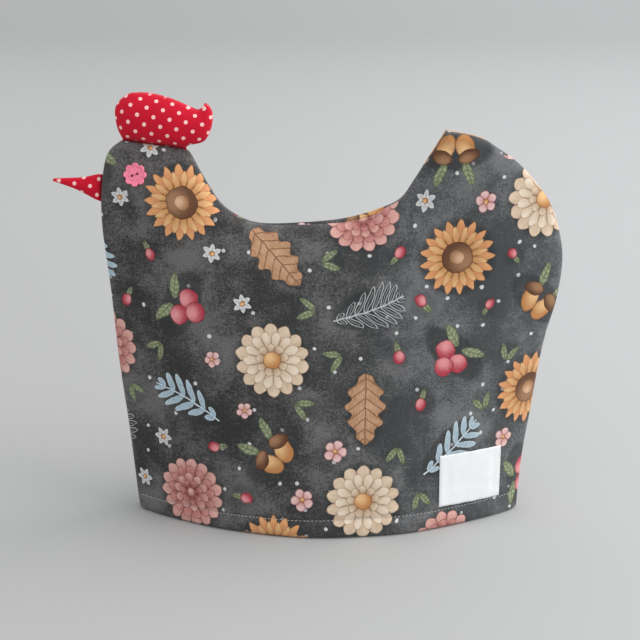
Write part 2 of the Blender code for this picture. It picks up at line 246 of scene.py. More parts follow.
def nearest(line, x, z):
    """For each point: its distance to a line, the nearest place there, and how far along that is."""
    start, step = line[:-1], np.diff(line, axis=0)
    run, size = runs(line)[:-1], (step * step).sum(-1)
    distance, place, position = np.empty(x.shape), np.empty((*x.shape, 2)), np.empty(x.shape)
    for row in range(len(x)):
        point = np.stack([x[row], z[row]], axis=-1)[:, None, :]
        share = np.clip(((point - start) * step).sum(-1) / size, 0, 1)
        found = start + share[..., None] * step
        gap = np.linalg.norm(point - found, axis=-1)
        best = gap.argmin(axis=1)
        closest = np.arange(len(best)), best
        distance[row], place[row] = gap[closest], found[closest]
        position[row] = run[best] + share[closest] * np.sqrt(size[best])
    return distance, place, position


def patch(bottom, top, left, right, u, v):
    """Blend four sides into a grid of (x, z) points, with rows along v and columns along u."""
    low, high = along(bottom, u)[None], along(top, u)[None]
    first, last = along(left, v)[:, None], along(right, v)[:, None]
    u, v = u[None, :, None], v[:, None, None]
    corners = ((1 - u) * (1 - v) * bottom[0] + u * (1 - v) * bottom[-1]
               + (1 - u) * v * top[0] + u * v * top[-1])
    grid = (1 - v) * low + v * high + (1 - u) * first + u * last - corners
    return grid[..., 0], grid[..., 1]


def closer_at_ends(count, even=0.35):
    """Shares from 0 to 1 in small steps at both ends and larger ones between."""
    t = np.arange(count + 1) / count
    return even * t + (1 - even) * (1 - np.cos(np.pi * t)) / 2


def closer_at_end(count, even=0.3):
    """Shares after 0 and up to 1, in steps that get smaller."""
    t = np.arange(1, count + 1) / count
    return even * t + (1 - even) * np.sin(np.pi / 2 * t)


def rounded(distance, radius):
    """The rise of a quarter circle over its radius, from 0 at the edge to 1."""
    inward = 1 - np.clip(distance / radius, 0, 1)
    return np.sqrt(1 - inward * inward)


def ease(value, low, high):
    """From 0 at low to 1 at high, smoothly."""
    t = np.clip((value - low) / (high - low), 0, 1)
    return t * t * (3 - 2 * t)


def bell(value, spread):
    """1 at zero, fading smoothly to both sides."""
    return np.exp(-(value / spread) ** 2)


def unit(vectors):
    """The same directions, one long."""
    return vectors / np.linalg.norm(vectors, axis=-1, keepdims=True)


FULL_TURN = 6.28            # radians, close enough for what is random


def ripple(position, lengths, seed):
    """An uneven wave along a line, from about -1 to 1, the same for the same seed."""
    rng = np.random.RandomState(seed)
    wave = sum(np.sin(2 * np.pi * position / (size * rng.uniform(0.9, 1.1)) + rng.uniform(0, FULL_TURN))
               for size in lengths)
    return wave / len(lengths)


DENTS_AREA = (-0.14, 0.02), (0.17, 0.27)    # lowest and highest (x, z) of their middles
DENT_LONG, DENT_SHORT = (0.030, 0.060), (0.012, 0.024)


def dents(x, z, seed, count=16):
    """Soft hollows and swells of a panel, from about -1 to 1."""
    rng = np.random.RandomState(seed)
    total = np.zeros_like(x)
    for _ in range(count):
        at = rng.uniform(*DENTS_AREA)
        turn, long, short = rng.uniform(0, np.pi), rng.uniform(*DENT_LONG), rng.uniform(*DENT_SHORT)
        a = (x - at[0]) * np.cos(turn) + (z - at[1]) * np.sin(turn)
        b = (z - at[1]) * np.cos(turn) - (x - at[0]) * np.sin(turn)
        total += rng.uniform(-1, 1) * bell(a, long) * bell(b, short)
    return total


# ---------------------------------------------------------------- meshes

def select_only(*objs):
    """Select these and nothing else, with the last one active."""
    bpy.context.view_layer.update()
    for obj in bpy.context.view_layer.objects:
        obj.select_set(False)
    for obj in objs:
        obj.select_set(True)
        bpy.context.view_layer.objects.active = obj


def add_primitive(kind, name, **values):
    select_only()
    getattr(bpy.ops.mesh, f"primitive_{kind}_add")(**values)
    obj = bpy.context.object
    obj.name = obj.data.name = name
    return obj


def select_where(obj, test):
    """In edit mode, select just the vertices whose place passes a test."""
    bpy.ops.mesh.select_all(action="DESELECT")
    edit = bmesh.from_edit_mesh(obj.data)
    for vert in edit.verts:
        vert.select = bool(test(vert.co))
    edit.select_flush(True)
    bmesh.update_edit_mesh(obj.data)


def subdivide(obj, name, levels):
    modifier = obj.modifiers.new(name, "SUBSURF")
    modifier.levels = modifier.render_levels = levels


def apply_modifiers(obj):
    select_only(obj)
    for modifier in list(obj.modifiers):
        bpy.ops.object.modifier_apply(modifier=modifier.name)


def keep_place_in_mesh():
    bpy.ops.object.transform_apply(location=True, rotation=True, scale=True)


def place_at(obj, matrix):
    """Move an object and leave its place in its mesh."""
    select_only(obj)
    obj.matrix_world = matrix
    keep_place_in_mesh()


def twin(obj, name):
    """A copy of a piece with a mesh of its own."""
    copy = obj.copy()
    copy.data = obj.data.copy()
    copy.name = copy.data.name = name
    bpy.context.collection.objects.link(copy)
    return copy


def coordinates(vertices, key="co"):
    """The places or the normals of a mesh's vertices, one to a row."""
    values = np.empty(len(vertices) * 3)
    vertices.foreach_get(key, values)
    return values.reshape(-1, 3)


def new_object(name, mesh):
    obj = bpy.data.objects.new(name, mesh)
    bpy.context.collection.objects.link(obj)
    return obj


class Points:
    """The points of a mesh in the making, with their places on the flat cloth."""

    def __init__(self):
        self.points, self.places, self.count = [], [], 0

    def add(self, points, places):
        """Add a line or a grid of points, and give their numbers in the same layout."""
        numbers = self.count + np.arange(points[..., 0].size).reshape(points.shape[:-1])
        self.points.append(points.reshape(-1, 3))
        self.places.append(places.reshape(-1, 2))
        self.count += numbers.size
        return numbers


def grid_faces(numbers):
    """The faces between neighbouring rows of a grid of vertex numbers."""
    a, b, c, d = (part.ravel() for part in
                  (numbers[:-1, :-1], numbers[:-1, 1:], numbers[1:, 1:], numbers[1:, :-1]))
    return [tuple(dict.fromkeys(f)) for f in np.stack([a, b, c, d], axis=1).tolist()
            if len(set(f)) > 2]


def faces_between(*rows):
    """The faces between lines of vertex numbers that are laid side by side."""
    return grid_faces(np.array(rows))


def closed_mesh(name, points, faces, places=None, rear_from=None, slots=None):
    """An object from points and faces, with its faces turned outwards.

    Places are where the points were on the flat cloth, in two arrays: from face number rear_from
    on, the second one holds. Slots are the numbers of the faces' materials.
    """
    mesh = bpy.data.meshes.new(name)
    mesh.from_pydata([tuple(p) for p in points], [], faces)
    if places is not None:
        corners = np.empty(len(mesh.loops), dtype=np.int32)
        mesh.loops.foreach_get("vertex_index", corners)
        on_rear = np.repeat(np.arange(len(faces)) >= (len(faces) if rear_from is None else rear_from),
                            [len(face) for face in faces])
        first, second = (np.asarray(each, dtype=np.float32)[corners] for each in places)
        layer = mesh.uv_layers.new(name="cut")
        layer.data.foreach_set("uv", np.where(on_rear[:, None], second, first).ravel())
    if slots is not None:
        mesh.polygons.foreach_set("material_index", np.asarray(slots, dtype=np.int32))
    bm = bmesh.new()
    bm.from_mesh(mesh)
    bmesh.ops.recalc_face_normals(bm, faces=bm.faces)
    if bm.calc_volume(signed=True) < 0:
        bmesh.ops.reverse_faces(bm, faces=bm.faces)
    bm.to_mesh(mesh)
    bm.free()
    mesh.shade_smooth()
    return new_object(name, mesh)


def tree_of(obj):
    """A search tree of an object's faces, for finding places on its surface."""
    bm = bmesh.new()
    bm.from_mesh(obj.data)
    tree = BVHTree.FromBMesh(bm)
    bm.free()
    return tree


def on_surface(tree, x, z, facing):
    """The point and outward normal where a line along Y first meets a panel."""
    point, normal, _, _ = tree.ray_cast(Vector((x, facing, z)), Vector((0, -facing, 0)))
    return point, normal if normal.y * facing > 0 else -normal


# ---------------------------------------------------------------- the padded panels

SEWN = {}       # each panel's line of topstitching, outside and inside
CLEAR_OF_SEAM = slice(6, -6)    # the columns that the topstitching runs over
COLUMNS, BODY_ROWS = 190, 116
FOLD_ROWS, BELOW_ROWS, ABOVE_ROWS = 6, 10, 14   # around the fold, below the topstitching and above it
RING_TURNS = 0.3, 0.6, 0.85     # rows of points on the way down to the seam, as shares of the dip
SLANT_FROM = 0.004          # height from which the rows of points take up the topstitching's slant
TUCK_SHARE = 0.45           # most of the padding that each cloth gives up at the folded hem
HEM_CORNER, CORNER_REACH = 0.0012, 0.01     # how far the hem's two ends are drawn in, and how far along
LINING_INSET = 0.006        # how far from the seam the lining is drawn in

# The groove along the topstitching is a wide one and a sharp one: share of its depth, and spread
GROOVE_PARTS = (0.6, 0.0030), (0.4, 0.0009)
PUFF_SHAPE = 0.8            # the lower, the fuller the roll below the topstitching
# The wavelengths of what gathers the cloth, how far from the seam or the topstitching it reaches,
# and how far in from the seam it is whole. The tugs at the topstitching are a share of the puckers.
GATHER, GATHER_WAVES = 0.6, (0.083, 0.131)
PUCKER_WAVES, PUCKER_REACH, PUCKER_WHOLE = (0.0105, 0.0145, 0.021), 0.011, 0.003
TUG, TUG_WAVES, TUG_REACH, TUG_WHOLE = 0.5, (0.0115, 0.0165, 0.029), 0.007, 0.006
BILLOW, BILLOW_WAVES, BILLOW_WHOLE = 0.0005, (0.064, 0.097), 0.02
DENTS_FROM, DENTS_WHOLE = 0.002, 0.030


class Cut:
    """A panel's points before any softness: place, depth of the lining, and place on the cut cloth."""

    def __init__(self, columns, band, rows, stitch, slant):
        breast, top, back = (curve_through(side) for side in (BREAST, TOP, BACK))
        u, rise = closer_at_ends(columns), closer_at_end(rows)
        first, last = (np.interp(band, side[:, 1], side[:, 0])[:, None] for side in (breast, back))
        band_x = first + u * (last - first)
        band_z = np.repeat(band[:, None], len(u), axis=1)
        bottom = np.stack([band_x[-1, [0, -1]], band_z[-1, [0, -1]]], axis=-1)
        left, right = (np.vstack([corner, side[side[:, 1] > HEM_BAND]])
                       for corner, side in zip(bottom, (breast, back)))
        body_x, body_z = patch(bottom, top, left, right, u, rise)
        slanting = ease(band_z, SLANT_FROM, stitch) * (1 - ease(band_z, stitch, HEM_BAND))
        band_z = band_z + slant * band_x * slanting
        self.x, self.z = np.vstack([band_x, body_x]), np.vstack([band_z, body_z])

        low = band_z / RIDGE_HEIGHT
        v = np.vstack([low, low[-1] + (1 - low[-1]) * rise[:, None]])
        self.tent = HEM_DEPTH * 4 * u * (1 - u) * (1 - v ** LEAN)
        seam_line = chain(*(curve_through(side, 6) for side in (BREAST, TOP)), curve_through(BACK, 6)[::-1])
        self.edge, place, self.run = nearest(seam_line, self.x, self.z)
        for fill, centre, reach in (HEAD_FILL, TAIL_FILL):
            self.tent += fill * bell(self.distance(centre), reach) * rounded(self.edge, reach) ** 2
        self.inward = np.stack([self.x, self.z], axis=-1) - place
        self.inward /= np.maximum(self.edge, 1e-9)[..., None]
        self.seam = self.seam_path()
        self.set_edge_direction()

        away = np.minimum(self.tab_distance(COMB_BASE, COMB_INTO_SEAM),
                          self.tab_distance(BEAK_BASE, BEAK_INTO_SEAM))
        self.seam_half = SEAM_HALF + (TAB_SEAM_HALF - SEAM_HALF) * (1 - ease(away, TAB_NEAR, TAB_FAR))

    def distance(self, spot):
        """How far each point is from a spot, seen from the front."""
        return np.hypot(self.x - spot[0], self.z - spot[1])

    def tab_distance(self, base, into_seam):
        """How far each point is from the tab of cloth that the seam holds there."""
        start, side = np.array(base[0]), np.subtract(base[1], base[0])
        size = np.linalg.norm(side)
        offset = np.stack([self.x, self.z], axis=-1) - start
        over, down = offset @ (side / size), offset @ np.array(into_seam)
        return np.hypot(np.maximum(0, np.maximum(-over, over - size)),
                        np.maximum(0, np.maximum(-down, down - TAB_LENGTH)))

    def at_depth(self, depth, inset=0):
        """The panel's points at a depth, moved in from the seam."""
        return np.stack([self.x + inset * self.inward[..., 0], depth + 0 * self.x,
                         self.z + inset * self.inward[..., 1]], axis=-1)

    def set_edge_direction(self):
        """On the seam itself, inward is square to the seam."""
        tangent = np.gradient(np.stack([self.x[self.seam], self.z[self.seam]], axis=-1), axis=0)
        self.inward[self.seam] = unit(tangent)[:, ::-1] * (1, -1)
        self.edge[self.seam] = 0

    def seam_path(self):
        """The rows and columns of the seam, from the hem at the breast to the hem at the back."""
        rows, columns = self.x.shape
        path = ([(j, 0) for j in range(rows)] + [(rows - 1, i) for i in range(1, columns)]
                + [(j, columns - 1) for j in range(rows - 2, -1, -1)])
        return tuple(np.array(path).T)

    def lay_flat(self, facing):
        """Set where each point was on the flat cloth: the wall's slopes laid out, in metres."""
        left, right = (np.interp(self.z, *np.array(side)[:, ::-1].T) for side in (BREAST, STEEP_BACK))
        half = (right - left) / 2
        s = np.clip((self.x - (left + right) / 2) / half, -1, 1)
        v = np.clip(self.z / RIDGE_HEIGHT, 0, 1)
        k = np.maximum(2 * HEM_DEPTH * (1 - v ** LEAN) / half, 1e-4)
        across = half * (s * np.sqrt(1 + (k * s) ** 2) + np.arcsinh(k * s) / k) / 2
        steep = (HEM_DEPTH * LEAN / RIDGE_HEIGHT) ** 2 * RIDGE_HEIGHT / (2 * LEAN - 1)
        up = self.z + 0.5 * steep * (1 - s * s) ** 2 * v ** (2 * LEAN - 1)
        self.plain_place = np.stack([-facing * (across + (left + right) / 2), up], axis=-1)
        if facing > 0:
            self.plain_place += BACK_CUT_AT


class Roll:
    """The padded edge beside the seam: a half-round roll that dips into it."""

    def __init__(self, cloth):
        self.wall, self.width, self.radius = cloth.wall, cloth.shoulder, cloth.shoulder / 2
        self.dip = math.acos(1 - cloth.seam_inset / self.radius)
        self.lift = self.radius * math.sin(self.dip)

    def height(self, edge):
        """How far the outside stands off the lining, by the distance from the seam."""
        return self.lift + (self.wall - self.lift) * rounded(edge, self.width)

    def spare(self, edge):
        """How much further the printed cloth runs over the padded edge than its outline shows."""
        reach = np.linspace(0, self.width, 60)
        run = runs(np.stack([reach, self.height(reach)], axis=-1))
        return np.interp(edge, reach, reach - self.width + run[-1] - run)


def hem_band(cloth):
    """Heights of the rows of the straight band, closest at the folded edge and the topstitching."""
    fold, stitch = cloth.hem_round, cloth.hem_stitch
    around = fold * (1 - np.cos(np.linspace(0, np.pi / 2, FOLD_ROWS)))
    below = stitch - np.linspace(1, 0, BELOW_ROWS)[1:] ** 1.5 * (stitch - fold)
    above = stitch + np.linspace(0, 1, ABOVE_ROWS)[1:] ** 1.4 * (HEM_BAND - stitch)
    return np.concatenate([around, below, above])


def softness(cut, cloth, slant, seed):
    """What sewing and use do to the padding: the hem's groove and roll, puckers and soft dents."""
    x, z, edge = cut.x, cut.z, cut.edge
    stitch_line = cloth.hem_stitch + slant * x
    above = z - stitch_line
    groove = cloth.hem_groove * sum(share * bell(above, spread) for share, spread in GROOVE_PARTS)
    puff = cloth.hem_puff * np.sin(np.pi * np.clip(z / stitch_line, 0, 1)) ** PUFF_SHAPE

    # Small puckers square to the seam and to the topstitching, and soft dents between them
    gather = GATHER * (1 + ripple(cut.run, GATHER_WAVES, seed))
    puckers = ripple(cut.run, PUCKER_WAVES, seed + 1) * gather
    puckers = cloth.pucker * puckers * np.exp(-edge / PUCKER_REACH) * ease(edge, 0, PUCKER_WHOLE)
    tugs = ripple(x, TUG_WAVES, seed + 2) * np.exp(-np.abs(above) / TUG_REACH)
    puckers += TUG * cloth.pucker * tugs * ease(edge, 0, TUG_WHOLE)
    hollows = cloth.dent * dents(x, z, seed + 3) * ease(edge, DENTS_FROM, DENTS_WHOLE)
    hollows += BILLOW * ripple(x, BILLOW_WAVES, seed + 4) * ease(edge, 0, BILLOW_WHOLE)
    hollows -= cloth.button_dimple * bell(cut.distance(BUTTON_SPOT), BUTTON_PULL)
    return (puff - groove) * rounded(edge, cloth.shoulder) + puckers + hollows


def give_way(points):
    """The front's padded edge sags along the ridge and folds at the tail: the back shows above it."""
    x, y, z = points.T
    front = ease(-y, -SEAM_BLEND, SEAM_BLEND)
    under = np.interp(x, *curve_through(RIDGE).T) - z
    sag = np.interp(x, *np.array(RIDGE_SAG).T)
    near = bell(np.maximum(under, 0), SAG_SPREAD)
    (push, push_reach), (bulge, bulge_at, bulge_spread) = SAG_PUSH, SAG_BULGE
    y = (y - push * sag * near * bell(y, push_reach)
         - bulge * sag * bell(under - bulge_at, bulge_spread) * ease(-y, 0, 0.004))

    depth, (at_x, at_z), (out_x, out_z), width, reach = TAIL_FOLD
    inward = (x - at_x) * out_x + (z - at_z) * out_z
    along_edge = (z - at_z) * out_x - (x - at_x) * out_z
    fold = depth * bell(along_edge, width) * np.exp(-np.abs(inward / reach) ** 1.5)
    y = y + FOLD_INTO_PANEL * fold * ease(-y, 0.001, 0.004)
    return np.stack([x - out_x * fold * front, y, z - sag * near * front - out_z * fold * front], axis=-1)


SWELL_FRAMES = 18
SWELL_LIMITS = -0.0015, 0.0030
HELD_AT_SEAM, HELD_AT_STITCH = 0.004, 0.003     # how far from them the stitches still hold the cloth
SLACK = 0.06                # how firmly it is held elsewhere, from 0 to 1
SPARE_AT_SEAM, SPARE_AT_STITCH = (1.0, 0.016), (0.7, 0.008)     # how gathered, and how far that reaches


def swell(cut, cloth, facing):
    """How far the padding pushes the cloth out, by simulation, at each point of a cut."""
    depth = cut.seam_half + cut.tent + cloth.wall * rounded(cut.edge, cloth.shoulder)
    points = cut.at_depth(facing * depth).reshape(-1, 3)
    mesh = bpy.data.meshes.new("swelling")
    numbers = np.arange(len(points)).reshape(cut.x.shape)
    mesh.from_pydata([tuple(p) for p in points], [], grid_faces(numbers))
    obj = new_object("swelling", mesh)

    from_stitch = cut.z - cloth.hem_stitch
    held = np.maximum.reduce([1 - ease(cut.edge, 0.0, HELD_AT_SEAM), 1 - ease(cut.z, 0.004, 0.008),
                              bell(from_stitch, HELD_AT_STITCH)])
    spare = sum(share * np.exp(-away / reach) for away, (share, reach) in
                ((cut.edge, SPARE_AT_SEAM), (np.abs(from_stitch), SPARE_AT_STITCH)))
    moved = simulate(obj, np.maximum(held, SLACK), SWELL_FRAMES, pressure=1.6, mass=0.02, stiffness=18,
                     bending=0.12, gathered=np.minimum(spare, 1), gathering=-0.05)
    normals = coordinates(mesh.vertices, "normal")
    normals *= np.where(normals[:, 1] * facing < 0, -1, 1)[:, None]
    out = ((moved - points) * normals).sum(-1).reshape(cut.x.shape)
    bpy.data.objects.remove(obj)
    bpy.data.meshes.remove(mesh)
    return np.clip(out, *SWELL_LIMITS)


def weigh(obj, name, weights):
    """A group of all an object's points, with a weight from 0 to 1 each."""
    group = obj.vertex_groups.new(name=name)
    for number, weight in enumerate(weights.ravel()):
        group.add([number], float(weight), "REPLACE")
    return group.name


def simulate(obj, held, frames, pressure, mass, stiffness, bending, gathered=None, gathering=0):
    """Run a cloth simulation on an object and return where its points end, leaving its mesh as it was."""
    modifier = obj.modifiers.new("Cloth", "CLOTH")
    settings = modifier.settings
    settings.vertex_group_mass = weigh(obj, "sewn", held)
    settings.mass = mass
    settings.use_pressure = True
    settings.uniform_pressure_force = pressure
    settings.tension_stiffness = settings.compression_stiffness = stiffness
    settings.shear_stiffness = stiffness / 3
    settings.bending_stiffness = bending
    settings.pin_stiffness = 1
    settings.effector_weights.gravity = 0
    settings.air_damping = 4
    if gathered is not None:
        settings.vertex_group_shrink = weigh(obj, "gathered", gathered)
        settings.shrink_min, settings.shrink_max = 0, gathering
    modifier.collision_settings.use_collision = False
    modifier.point_cache.frame_start, modifier.point_cache.frame_end = 1, frames
    scene = bpy.context.scene
    for number in range(1, frames + 1):
        scene.frame_set(number)
    shape = obj.evaluated_get(bpy.context.evaluated_depsgraph_get()).to_mesh()
    points = coordinates(shape.vertices)
    obj.modifiers.remove(modifier)
    obj.vertex_groups.clear()
    scene.frame_set(1)
    return points


def carry(values, shape):
    """Spread a coarse grid's values over a finer grid, by their place in it."""
    rows, columns = values.shape
    v, u = (np.linspace(0, count - 1, finer) for count, finer in zip(values.shape, shape))
    across = np.stack([np.interp(u, np.arange(columns), row) for row in values])
    return np.stack([np.interp(v, np.arange(rows), column) for column in across.T], axis=1)


def sew_panel(name, facing, cloth, seed):
    """One padded panel: printed cotton outside, lining inside, with its hem rolled under."""
    slant = cloth.hem_slant if facing < 0 else 0
    band, roll = hem_band(cloth), Roll(cloth)
    cut = Cut(COLUMNS, band, BODY_ROWS, cloth.hem_stitch, slant)
    cut.lay_flat(facing)
    lining = cut.seam_half + cut.tent
    outer = lining + roll.height(cut.edge) + softness(cut, cloth, slant, seed)
    every_other = np.append(band[::2], band[-1])
    coarse = Cut(COLUMNS // 2, every_other, BODY_ROWS // 2, cloth.hem_stitch, slant)
    outer += carry(swell(coarse, cloth, facing), cut.x.shape)

    # At the folded hem both cloths round off towards each other
    fold = 1 - rounded(cut.z, cloth.hem_round)
    tuck = np.minimum(cloth.hem_round, TUCK_SHARE * (outer - lining)) * fold
    outer, lining = outer - tuck, lining + tuck
    cut.x = cut.x + HEM_CORNER * fold * (1 - ease(cut.edge, 0, CORNER_REACH)) * cut.inward[..., 0]
    row = int(np.argmin(np.abs(band - cloth.hem_stitch)))
    SEWN[name] = [cut.at_depth(facing * depth)[row] for depth in (outer, lining)]

    # The lining is drawn in along the seam and lies flat on its two edges
    inset = cloth.seam_inset * (1 - np.clip(cut.edge / LINING_INSET, 0, 1)) ** 2
    inner = cut.at_depth(facing * lining, inset)
    inner[0, :, 2] = 0
    inner[(*cut.seam, 1)] = facing * cut.seam_half[cut.seam]
    return join_cloths(name, cut, roll, facing, outer, inner, cloth.wall)


def join_cloths(name, cut, roll, facing, outer, inner, wall):
    """The panel as one closed mesh: the printed cloth, its rows over the padded edge, and the lining."""
    seam, points = cut.seam, Points()
    outward = -cut.inward * (-facing, 1)
    printed_place = cut.plain_place + outward * roll.spare(cut.edge)[..., None]
    outside = points.add(cut.at_depth(facing * outer), printed_place)
    rows = [outside[seam]]
    half, rim = cut.seam_half[seam], outer[seam]
    for turn in (share * roll.dip for share in RING_TURNS):
        ring = cut.at_depth(0, roll.radius * (1 - math.cos(turn)))[seam]
        ring[:, 1] = facing * (half + (rim - half) * (1 - math.sin(turn) / math.sin(roll.dip)))
        ring[[0, -1], 2] = 0
        rows.append(points.add(ring, printed_place[seam] + outward[seam] * roll.radius * turn))
    inside = points.add(inner, cut.plain_place)
    rows.append(inside[seam])

    plain_places = np.vstack(points.places)
    printed_places = plain_places.copy()
    printed_places[inside[seam]] = printed_place[seam] + outward[seam] * roll.radius * roll.dip
    printed_places[inside[0]] = printed_place[0] - (0, wall)
    faces = grid_faces(outside) + faces_between(*rows) + faces_between(outside[0], inside[0])
    faces += [tuple(int(row[end]) for row in rows) for end in (0, -1)]
    on_lining = len(faces)
    faces += grid_faces(inside)
    slots = [0] * on_lining + [1] * (len(faces) - on_lining)
    return closed_mesh(name, give_way(np.vstack(points.points)), faces, [printed_places, plain_places],
                       on_lining, slots)


# ---------------------------------------------------------------- the stuffed comb and beak

def shifted(step):
    """Two slices of one axis: places with a neighbour that many steps on, and those neighbours."""
    pair = slice(0, -abs(step) or None), slice(abs(step), None)
    return pair if step >= 0 else pair[::-1]


FLAT_ROUNDS, FLAT_STEP = 400, 0.8   # how often the cloth is smoothed out, and how far each time


def flatten(points, place):
    """Lay a grid of cloth flat: the (x, z) places whose neighbours are as far apart as on the cloth."""
    for _ in range(FLAT_ROUNDS):
        push, share = np.zeros_like(place), np.zeros(place.shape[:2])
        for down, right in ((0, 1), (1, 0), (1, 1), (1, -1)):
            here, there = zip(shifted(down), shifted(right))
            apart = place[there] - place[here]
            size = np.maximum(np.linalg.norm(apart, axis=-1), 1e-9)
            wanted = np.linalg.norm(points[there] - points[here], axis=-1)
            move = 0.5 * (1 - wanted / size)[..., None] * apart
            push[here] += move
            push[there] -= move
            share[here] += 1
            share[there] += 1
        place = place + FLAT_STEP * push / share[..., None]
    return place


SMOOTH_ROUNDS, SMOOTH_FROM, SMOOTH_WHOLE = 10, 0.0008, 0.0028   # by the distance from the outline
CREASE, CREASE_WAVES, CREASE_REACH = 0.0005, (0.0062, 0.0088, 0.013), 0.0045
CREASE_FROM, CREASE_WHOLE = 0.0005, 0.0030
PAST_STITCHES = 0.0006, 0.0016, 0.0011  # how far the stuffing swells past the seam, where, and its spread
AT_STITCHES = 0.0003, 0.0005            # how far the stitches draw the cloth in, and its spread


def stuffed_depth(edge, sewn, run, half, radius, seed):
    """How far each point stands off the middle, by its distances from the outline and the seam."""
    depth = np.maximum(half * rounded(edge, radius), TAB_HALF)
    inner = ease(edge, SMOOTH_FROM, SMOOTH_WHOLE)[1:-1, 1:-1]
    for _ in range(SMOOTH_ROUNDS):  # no crease where the cloth is equally far from two seams
        around = (depth[:-2, 1:-1] + depth[2:, 1:-1] + depth[1:-1, :-2] + depth[1:-1, 2:]) / 4
        depth[1:-1, 1:-1] += inner * (around - depth[1:-1, 1:-1])
    creases = CREASE * ripple(run, CREASE_WAVES, seed)
    return depth + creases * np.exp(-sewn / CREASE_REACH) * ease(sewn, CREASE_FROM, CREASE_WHOLE)


def swell_past(place, seam, sewn, rise):
    """Beside the seam the stuffing swells the cloth a little past the stitches."""
    (past, past_at, past_spread), (drawn, drawn_spread) = PAST_STITCHES, AT_STITCHES
    out = past * bell(sewn - past_at, past_spread) - drawn * bell(sewn, drawn_spread)
    away = place - seam
    gap = np.maximum(np.linalg.norm(away, axis=-1), 1e-9)[..., None]
    return place - away / gap * out[..., None] * rise[..., None]


def stuff(name, sides, into_seam, half, radius, columns, rows, seed, pressure, cap, cut_at=(0, 0)):
    """A stuffed shape of two skins sewn along three sides, its base pinched flat into the seam."""
    bottom, top, left, right = (curve_through(side) for side in sides)
    u, v = closer_at_ends(columns, 0.3), closer_at_ends(rows, 0.3)
    x, z = patch(bottom, top, left, right, u, v)
    edge, _, _ = nearest(chain(bottom, right, top[::-1], left[::-1]), x, z)
    sewn, seam, run = nearest(chain(left, top, right[::-1]), x, z)
    depth = stuffed_depth(edge, sewn, run, half, radius, seed)
    place = swell_past(np.stack([x, z], axis=-1), seam, sewn, ease(v, 0.1, 0.4)[:, None])
    on_rim = np.zeros(x.shape, dtype=bool)
    on_rim[1:, 0] = on_rim[1:, -1] = on_rim[-1] = True

    points = Points()
    skins = []
    for facing in (-1, 1):
        base = place[0] + np.array(into_seam) * TAB_LENGTH
        tab = np.stack([base[:, 0], np.full(columns + 1, facing * TAB_HALF), base[:, 1]], axis=-1)
        skin = np.stack([place[..., 0], np.where(on_rim, 0, facing * depth), place[..., 1]], axis=-1)
        flat = flatten(skin, place)
        flat = np.concatenate([flat[:1] - (0, TAB_LENGTH), flat]) * (-facing, 1) + cut_at
        if facing > 0:
            flat += REAR_CUT_AT
        skins.append(points.add(np.concatenate([tab[None], skin]), flat))
    front, rear = skins
    rear[1:][on_rim] = front[1:][on_rim]
    faces = grid_faces(front) + faces_between(rear[0], front[0])
    for i in (0, columns):
        faces.append(tuple(int(n) for n in (front[0, i], front[1, i], rear[1, i], rear[0, i])))
        faces.append(tuple(int(n) for n in (front[1, i], front[2, i], rear[1, i])))
    on_rear = len(faces)
    faces += grid_faces(rear)

    held = np.zeros(front.shape)
    held[:2] = held[1:][on_rim] = 1
    places = np.stack([np.vstack(points.places), np.vstack([points.places[1]] * 2)])
    used = np.unique(np.concatenate([np.array(f) for f in faces]))
    renumber = np.full(points.count, -1)
    renumber[used] = np.arange(len(used))
    faces = [tuple(int(renumber[n]) for n in f) for f in faces]
    obj = closed_mesh(name, np.vstack(points.points)[used], faces, places[:, used], on_rear)
    settle(obj, np.tile(held.ravel(), 2)[used], pressure, cap)
    subdivide(obj, "Smooth cloth", 2)
    # Cut into triangles here, so that no two of them share an edge across a corner of the seam
    obj.modifiers.new("Triangles", "TRIANGULATE").quad_method = "BEAUTY"
    apply_modifiers(obj)
    return obj


SETTLE_FRAMES = 20
SKIN_SLACK = 0.02           # how firmly the skins are held away from their seams, from 0 to 1
SLIMMER = 1, 0.94, 1        # the shape that the stuffing swells starts a little thinner


def settle(obj, held, pressure, cap):
    """Let the stuffing press the cloth out by at most the cap, with the seam and the base held."""
    rest = coordinates(obj.data.vertices)
    obj.data.vertices.foreach_set("co", (rest * SLIMMER).ravel())
    moved = simulate(obj, np.maximum(held, SKIN_SLACK), SETTLE_FRAMES, pressure=pressure, mass=0.01,
                     stiffness=12, bending=0.05)
    step = moved - rest
    far = np.linalg.norm(step, axis=1)
    step *= np.minimum(1, cap / np.maximum(far, 1e-9))[:, None]
    obj.data.vertices.foreach_set("co", (rest + step).ravel())


# ---------------------------------------------------------------- buttons

PETALS = 8
PETAL_STEPS = 12            # points around one petal
PETAL_CENTRE, PETAL_ROUND = 0.695, 0.305   # shares of the button's radius
UNDERSIDE = 0.955           # size of the flat underside, as a share of the button's outline
# The moulded face from the edge inwards: share of the radius, rise, how deep the grooves are, and
# how far the ring has changed from petals to a circle
FACE = ((1.0, 0.3, 0.0, 0.0), (0.965, 0.74, 0.24, 0.0), (0.925, 0.95, 0.32, 0.0), (0.865, 0.97, 0.35, 0.0),
        (0.800, 0.74, 0.32, 0.05), (0.680, 0.62, 0.26, 0.15), (0.540, 0.64, 0.14, 0.5),
        (0.440, 0.68, 0.02, 1.0), (0.250, 0.66, 0.0, 1.0))
CIRCLE_REACH = 0.9          # radius of that circle, as a share of the petals' reach
GROOVE_START, GROOVE_SHAPE = 2.5, 1.6   # steps from a petal's middle, and how sharply it deepens
HOLE_RADIUS = 0.00100
HOLE_SPACING = 0.0042
TIE_RADIUS = 0.00024        # of the thread that shows between the holes
TIE_DARK = 0.45             # its tone, as a share of the button's
TIE_LENGTH = 1.15           # share of the holes' spacing
TIE_CUTS = 0.2, 0.6, 0.85   # where the thread can bend, from its middle to a hole
TIE_HEIGHT = 0.74           # of its middle, as a share of the button's thickness
